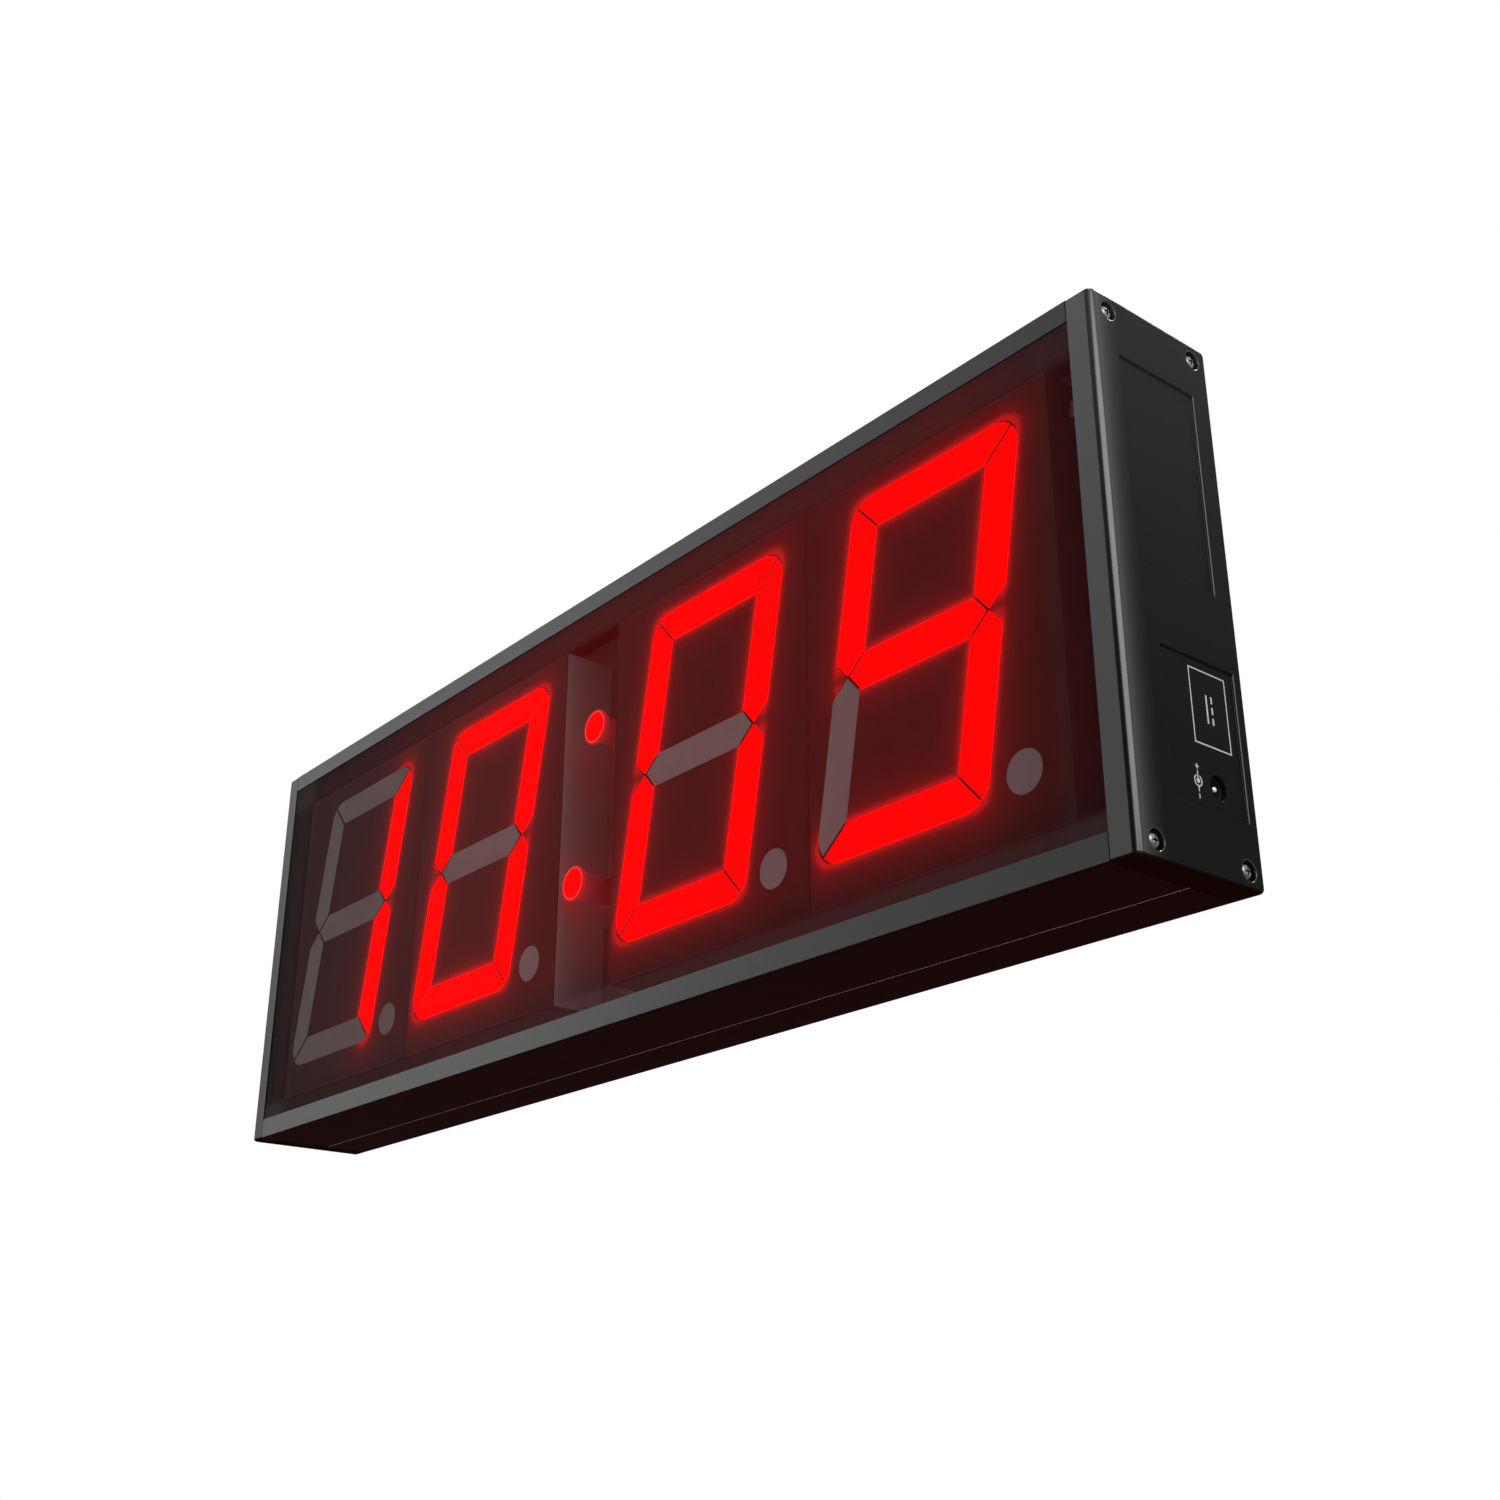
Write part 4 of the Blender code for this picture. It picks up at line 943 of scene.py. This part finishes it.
# %% Draw the slab and its cutting lines
def digit_slab(grown=0.0):
    """The slanted slab of the whole first digit, grown all round by a clearance."""
    foot, head = lean(0.0, -grown, 1), lean(0.0, DIGIT_HEIGHT + grown, 1)
    sideways = grown / math.cos(SLANT)
    slab = block("digit_slab", (foot[0] - sideways, FACE - grown, foot[1]),
                 (foot[0] + DIGIT_WIDTH + sideways, REAR + grown, head[1]))
    pick(slab, "FACE", lambda face: face.normal.z > 0.99)
    bpy.ops.transform.translate(value=(head[0] - foot[0], 0.0, 0.0))
    alone(slab)
    middle_x = (foot[0] + head[0] + DIGIT_WIDTH) / 2
    for sharp in (True, False):
        def corner(edge):
            centre = (edge.verts[0].co + edge.verts[1].co) / 2
            lower_left = (centre.x < middle_x) == (centre.z < (foot[1] + head[1]) / 2)
            return runs_along(edge, "Y") and edge.calc_length() > 5 * MM and lower_left == sharp

        angle = math.pi / 2 + (-SLANT if sharp else SLANT)
        pick(slab, "EDGE", corner)
        bpy.ops.mesh.bevel(offset=(CORNER + grown) / math.tan(angle / 2), offset_type="ABSOLUTE",
                           segments=14, profile=0.5, affect="EDGES")
        alone(slab)
    return slab


def cutting_lines():
    """For each segment, its lines as start, end and how far the cut keeps away from the line."""
    w, h, s, e, m = DIGIT_WIDTH, DIGIT_HEIGHT, SIDE, END_STROKE, MITRE / 2
    over, under = (h + MIDDLE_STROKE) / 2, (h - MIDDLE_STROKE) / 2
    in_tl, in_tr, in_fr = (s, h - e), (w - s, h - e), (w - s, e)
    waist_l, waist_r = (s / 2, h / 2), (w - s / 2, h / 2)
    over_l, over_r, under_l, under_r = (s, over), (w - s, over), (s, under), (w - s, under)
    lines = {
        "a": ((in_tr, (w, h), m), ((0, h), in_tl, m), (in_tl, in_tr, 0)),
        "b": (((w, h), in_tr, m), (over_r, waist_r, m), (in_tr, over_r, 0), (waist_r, (w, over), 0)),
        "c": ((in_fr, (w, 0), m), (waist_r, under_r, m), (under_r, in_fr, 0), ((w, under), waist_r, 0)),
        "g": ((over_l, waist_l, m), (waist_l, under_l, m), (under_r, waist_r, m), (waist_r, over_r, m),
              (over_r, over_l, 0), (under_l, under_r, 0)),
    }
    # A digit looks the same upside down, so d, e and f are a, b and c turned half round.
    for letter, turned in zip("def", "abc"):
        lines[letter] = [((w - x0, h - z0), (w - x1, h - z1), inset)
                         for (x0, z0), (x1, z1), inset in lines[turned]]
    return lines


def slice_segment(slab, letter, grown=0.0):
    """One segment: a copy of the slab that keeps what lies to the left of its lines."""
    segment = twin(slab, f"segment_{letter}")
    for start, end, inset in cutting_lines()[letter]:
        first, last = Vector(lean(*start, 1)), Vector(lean(*end, 1))
        along = (last - first).normalized()
        left = Vector((-along.y, along.x))
        point = first + left * (inset - grown)
        pick(segment, "FACE", lambda face: True)
        bpy.ops.mesh.bisect(plane_co=(point.x, FACE, point.y), plane_no=(left.x, 0.0, left.y),
                            use_fill=True, clear_inner=True, threshold=0.001 * MM)
        alone(segment)
    return segment


def digit_shapes(grown=0.0):
    """The seven segments and the point, grown by a clearance."""
    slab = digit_slab(grown)
    shapes = {letter: slice_segment(slab, letter, grown) for letter in "abcdefg"}
    bpy.data.objects.remove(slab)
    low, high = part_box("digit_1_decimal_point")
    shapes["point"] = drum("decimal_point", (low + high) / 2, (high.x - low.x) / 2 + grown, "Y",
                           FACE - grown, REAR + grown)
    return shapes


# %% Make the light guides of all four digits
GUIDE_EDGE = 0.2 * MM
shapes = digit_shapes()
for shape in shapes.values():
    round_edges(shape, lambda e: at(e, "Y", FACE), GUIDE_EDGE, 2)
    smooth(shape, 50)
for number in LIT:
    for letter, shape in shapes.items():
        guide = shift(twin(shape, f"digit_{number}_guide_{letter}"), (STEPS[number], 0.0, 0.0))
        lit = letter in LIT[number]
        dress(guide, GUIDE_LIT if lit else GUIDE_UNLIT)
        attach(guide, "root")
        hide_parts(f"digit_{number}_decimal_point" if letter == "point"
                    else f"digit_{number}_segment_{letter}")
for shape in shapes.values():
    bpy.data.objects.remove(shape)
print("28 segments and 4 decimal points")

# %% [markdown]
# ## Digit housings
# A housing is a moulded box whose face is printed black, with one well for each light guide. The
# box is a cube with softly rounded edges. Its wells are cut by the guides' own shapes, grown by
# the clearance that lets a guide slide in, so a thin dark line shows round every guide.

# %% Make one housing and copy it
WELL_GAP, HOUSING_EDGE = 0.12 * MM, 0.35 * MM
housing = block("digit_housing", HOUSING_LOW, HOUSING_HIGH)
round_edges(housing, lambda e: at(e, "Y", FACE), HOUSING_EDGE, 3)
cut(housing, *digit_shapes(WELL_GAP).values())
smooth(housing)
for number in LIT:
    copy = shift(twin(housing, f"digit_{number}_printed_housing"), (STEPS[number], 0.0, 0.0))
    dress(copy, FACES[number])
    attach(copy, "root")
    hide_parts(f"digit_{number}_housing")
print("4 housings with", len(housing.data.polygons), "faces each")
bpy.data.objects.remove(housing)

# %% [markdown]
# ## Colon
# Each dot of the colon is a clear rod with a flat head, standing in the gap between the two pairs
# of digits. Only the middle of the head shines. Its rim is paler, and the rod behind it is almost
# clear, with a red glow that dies away towards its foot. All this is one material that knows how
# far a point is from the rod's axis and from its face.

# %% The glowing rod's finish
HEAD_THICK, ROD_RADIUS, LAMP_RADIUS, LAMP_RING = 1.2 * MM, 5.5 * MM, 6.0 * MM, 0.75 * MM
ROD_FADE = 4.0 * MM


def light_rod(place):
    finish = Finish(f"clear light rod {place}", Specular_IOR_Level=0.0, Emission_Strength=9.0,
                    Base_Color=(0.20, 0.0, 0.0))
    point, (x, y, z) = finish.place()
    middle = middle_of(f"colon_lens_{place}")
    radius = reach(x - middle.x, z - middle.z)
    cloud = finish.noise(point, 260.0, detail=2.0)
    head = y < FACE + HEAD_THICK
    shining = head * (radius < LAMP_RADIUS)
    faint = finish.blend((y - FACE).fading(ROD_FADE), NO_LIGHT, (0.40, 0.006, 0.006))
    rim = finish.blend(radius < LAMP_RADIUS + LAMP_RING, (0.09, 0.003, 0.003), (0.15, 0.013, 0.015))
    finish.set("Emission Color", finish.blend(shining, finish.blend(head, faint, rim), (1.0, 0.0, 0.0)))
    finish.set("Alpha", 0.16 + head * 0.84)
    finish.set("Roughness", 0.25 + cloud * 0.1)
    return finish.material


# %% Make the colon's two lamps
HEAD_EDGE = 0.5 * MM
for place in ("upper", "lower"):
    middle = middle_of(f"colon_lens_{place}")
    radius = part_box(f"colon_lens_{place}")[1].x - middle.x
    lamp = drum(f"colon_{place}_lamp", middle, radius, "Y", FACE, FACE + HEAD_THICK)
    pick(lamp, "FACE", lambda face: face.normal.y > 0.99)
    bpy.ops.mesh.inset(thickness=radius - ROD_RADIUS)
    draw_out(y=REAR - FACE - HEAD_THICK)
    alone(lamp)
    round_edges(lamp, lambda e: at(e, "Y", FACE), HEAD_EDGE, 4)
    dress(smooth(lamp), light_rod(place))
    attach(lamp, "root")
    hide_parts(f"colon_lens_{place}")
print("2 lamps, each with a head", round(HEAD_THICK / MM, 1), "mm thick")

# %% [markdown]
# ## Print beside the socket
# The recess round the power socket carries white print: the plain sign that says which pole is
# in the middle of the plug, and an outlined box with the sign for direct current. Ink has almost
# no thickness, so each sign is a flat solid that stands a hair proud of the recess's floor. The
# ring is a drum with a smaller drum and a gap cut out of it, and the rest is joined to it.

# %% White ink
INK_LOW, INK_HIGH = END - RECESS_DEPTH - 0.01 * MM, END - RECESS_DEPTH + 0.02 * MM


def bar(y, z, across, up, spare=0.0):
    """A flat bar of ink round a centre, or a tool for one that stands out by some spare."""
    return block("bar", (INK_LOW - spare, y - across / 2, z - up / 2),
                 (INK_HIGH + spare, y + across / 2, z + up / 2))


def ink_drum(y, z, radius, spare=0.0):
    """A flat disc of ink, or a tool for one."""
    return drum("ink_drum", (0.0, y, z), radius, "X", INK_LOW - spare, INK_HIGH + spare, 48)


def finish_print(sign, name):
    sign.name = sign.data.name = name
    dress(smooth(sign), WHITE_INK)
    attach(sign, "root")
    print(name, len(sign.data.polygons), "faces")


WHITE_INK = grained("white printing ink", 3000.0, (0.44, 0.44, 0.45), (0.62, 0.62, 0.63), 0.5, 0.2,
                    detail=2.0, Specular_IOR_Level=0.2)

# %% The sign for the plug's poles
RING_RADIUS, RING_INSIDE, DOT_RADIUS = 1.85 * MM, 1.40 * MM, 0.75 * MM
RING_GAP, GAP_LENGTH = 1.4 * MM, 3.0 * MM
y, z = FRONT + 30.4 * MM, 28.7 * MM
polarity = ink_drum(y, z, RING_RADIUS)
cut(polarity, ink_drum(y, z, RING_INSIDE, MM), bar(y, z + GAP_LENGTH / 2, RING_GAP, GAP_LENGTH, MM))
# The two leads, the plus and the minus: height above the ring's middle, width and length.
strokes = ((1.6, 0.42, 3.0), (-2.5, 0.42, 1.5), (4.4, 0.42, 1.7), (4.4, 1.7, 0.42), (-4.6, 0.42, 1.4))
cut(polarity, ink_drum(y, z, DOT_RADIUS),
    *(bar(y, z + above * MM, across * MM, up * MM) for above, across, up in strokes), operation="UNION")
finish_print(polarity, "polarity_sign")

# %% The box with the sign for direct current
BOX_WIDTH, BOX_HEIGHT, BOX_LINE = 17.0 * MM, 24.0 * MM, 0.45 * MM
DASH_WIDTH, LONG_DASH, SHORT_DASH, DASH_STEP = 0.7 * MM, 9.0 * MM, 2.2 * MM, 3.4 * MM
FROM_MIDDLE = 1.2 * MM
y, z = FRONT + 39.3 * MM, 52.7 * MM
current = bar(y, z, BOX_WIDTH, BOX_HEIGHT)
cut(current, bar(y, z, BOX_WIDTH - 2 * BOX_LINE, BOX_HEIGHT - 2 * BOX_LINE, MM))
dashes = [bar(y + FROM_MIDDLE, z + k * DASH_STEP, DASH_WIDTH, SHORT_DASH) for k in (-1, 0, 1)]
cut(current, bar(y - FROM_MIDDLE, z, DASH_WIDTH, LONG_DASH), *dashes, operation="UNION")
finish_print(current, "current_box")

# %% [markdown]
# ## Pin of the power socket
# The bright pin in the middle of the socket is turned from brass and nickel plated. Its end is a
# small dome, so the cylinder's end edge is bevelled in several steps.

# %% Turn the pin
low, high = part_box("dc_jack_pin")
pin_radius, pin_tip = (high.y - low.y) / 2, END - 1.9 * MM
pin = drum("dc_jack_pin_turned", (low + high) / 2, pin_radius, "X", low.x, pin_tip, 40)
count = round_edges(pin, lambda e: at(e, "X", pin_tip), 0.7 * pin_radius, 6)
dress(smooth(pin), BRIGHT_METAL)
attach(pin, "root")
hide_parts("dc_jack_pin")
print("the pin is", round(2 * pin_radius / MM, 2), "mm thick, its end edge has", count, "sides")

# %% [markdown]
# ## Floor, light and camera
# The picture is a plain white cut-out, seen from low on the right. A pale floor lies far below, and
# it and the world look paler to the camera than the light they give. Two broad panels on the left
# stand where the front bars mirror them, and give the bars a grey that fades to the right. A long
# lamp on the right draws the highlight down the cap's rounded corner. The last two light the back
# and the top for other views. The camera's place was worked out from the case's straight edges.

# %% Background
ROOM_LIGHT, FLOOR_SHOWN = 0.3, 0.45
WHITE = (1.0, 1.0, 1.0)


class Studio(Finish):
    """The world, whose nodes are added with a finish's tools."""

    def __init__(self):
        world = bpy.context.scene.world or bpy.data.worlds.new("studio")
        bpy.context.scene.world = world
        world.use_nodes = True
        self.tree = world.node_tree
        self.tree.nodes.clear()


# White to the camera, to gloss and through glass, and dimmer as a light.
studio = Studio()
rays = [studio.node("LightPath", output=f"Is {kind} Ray") for kind in ("Camera", "Glossy", "Transmission")]
room, white = [studio.node("Background", inputs={"Color": WHITE, "Strength": strength})
               for strength in (ROOM_LIGHT, 1.0)]
mixed = studio.node("MixShader", inputs={0: reduce(Wire.at_least, rays), 1: room, 2: white})
studio.node("OutputWorld", inputs={"Surface": mixed})
print("the world has", len(studio.tree.nodes), "nodes")

# %% Floor
FLOOR_SIZE, FLOOR_DROP = 60.0, 0.9
alone(None)
bpy.ops.mesh.primitive_plane_add(size=FLOOR_SIZE, location=(0.0, 0.0, -FLOOR_DROP))
floor = settle("studio_floor")
paper = Finish("floor paper", Specular_IOR_Level=0.1, Emission_Strength=1.0)
paper_point, _ = paper.place()
seen_by_camera = paper.node("LightPath", output="Is Camera Ray")
paper.set("Emission Color", paper.blend(seen_by_camera * FLOOR_SHOWN, NO_LIGHT, WHITE))
fibres = paper.noise(paper_point, 3.0)
paper.set("Base Color", paper.blend(fibres, (0.80, 0.80, 0.80), (0.84, 0.84, 0.84)))
paper.set("Roughness", 0.9)
dress(floor, paper.material)
print("the floor lies", FLOOR_DROP, "m below the timer")


# %% Lamps
def set_up(name, data, place, look):
    """Puts a lamp or the camera at its place, looking along a direction."""
    device = bpy.data.objects.new(name, data)
    bpy.context.scene.collection.objects.link(device)
    device.location = place
    device.rotation_euler = look.to_track_quat("-Z", "Y").to_euler()
    return device


def lamp(name, place, aim, size, spread, power, colour=WHITE):
    """A soft rectangular lamp that looks at a point."""
    data = bpy.data.lights.new(name, "AREA")
    data.shape, data.size, data.size_y = "RECTANGLE", *size
    data.energy, data.color, data.spread = power, colour, math.radians(spread)
    set_up(name, data, place, Vector(aim) - Vector(place))


lamp("front panel", (-0.90, -0.9, 0.63), (-0.90, 0.0, 0.63), (1.5, 1.1), 180, 29.0)
lamp("left panel", (-1.9, -0.9, 0.55), (-1.9, 0.0, 0.55), (0.8, 1.1), 180, 10.0)
lamp("right softbox", (1.36, -0.38, 0.70), (END, FRONT, TOP / 2), (1.5, 0.55), 120, 5.0, (0.92, 0.95, 1.0))
lamp("back softbox", (0.3, 1.3, 1.9), (0.0, BACK, TOP / 2), (0.9, 0.6), 70, 12.0)
lamp("overhead", (0.0, 0.3, 2.2), (0.0, 0.3, 0.0), (1.2, 1.2), 120, 12.0)
print("lamps:", [light.name for light in bpy.data.lights])

# %% Camera
EYE, LOOK = (0.5473, -0.3953, -0.1597), Vector((-0.7103, 0.5883, 0.3864))
camera_data = bpy.data.cameras.new("camera")
camera_data.lens, camera_data.sensor_width = 43.45, 36.0
bpy.context.scene.camera = set_up("camera", camera_data, EYE, LOOK)
bpy.context.scene.view_settings.view_transform = "Standard"
print("the lens is", camera_data.lens, "mm long")
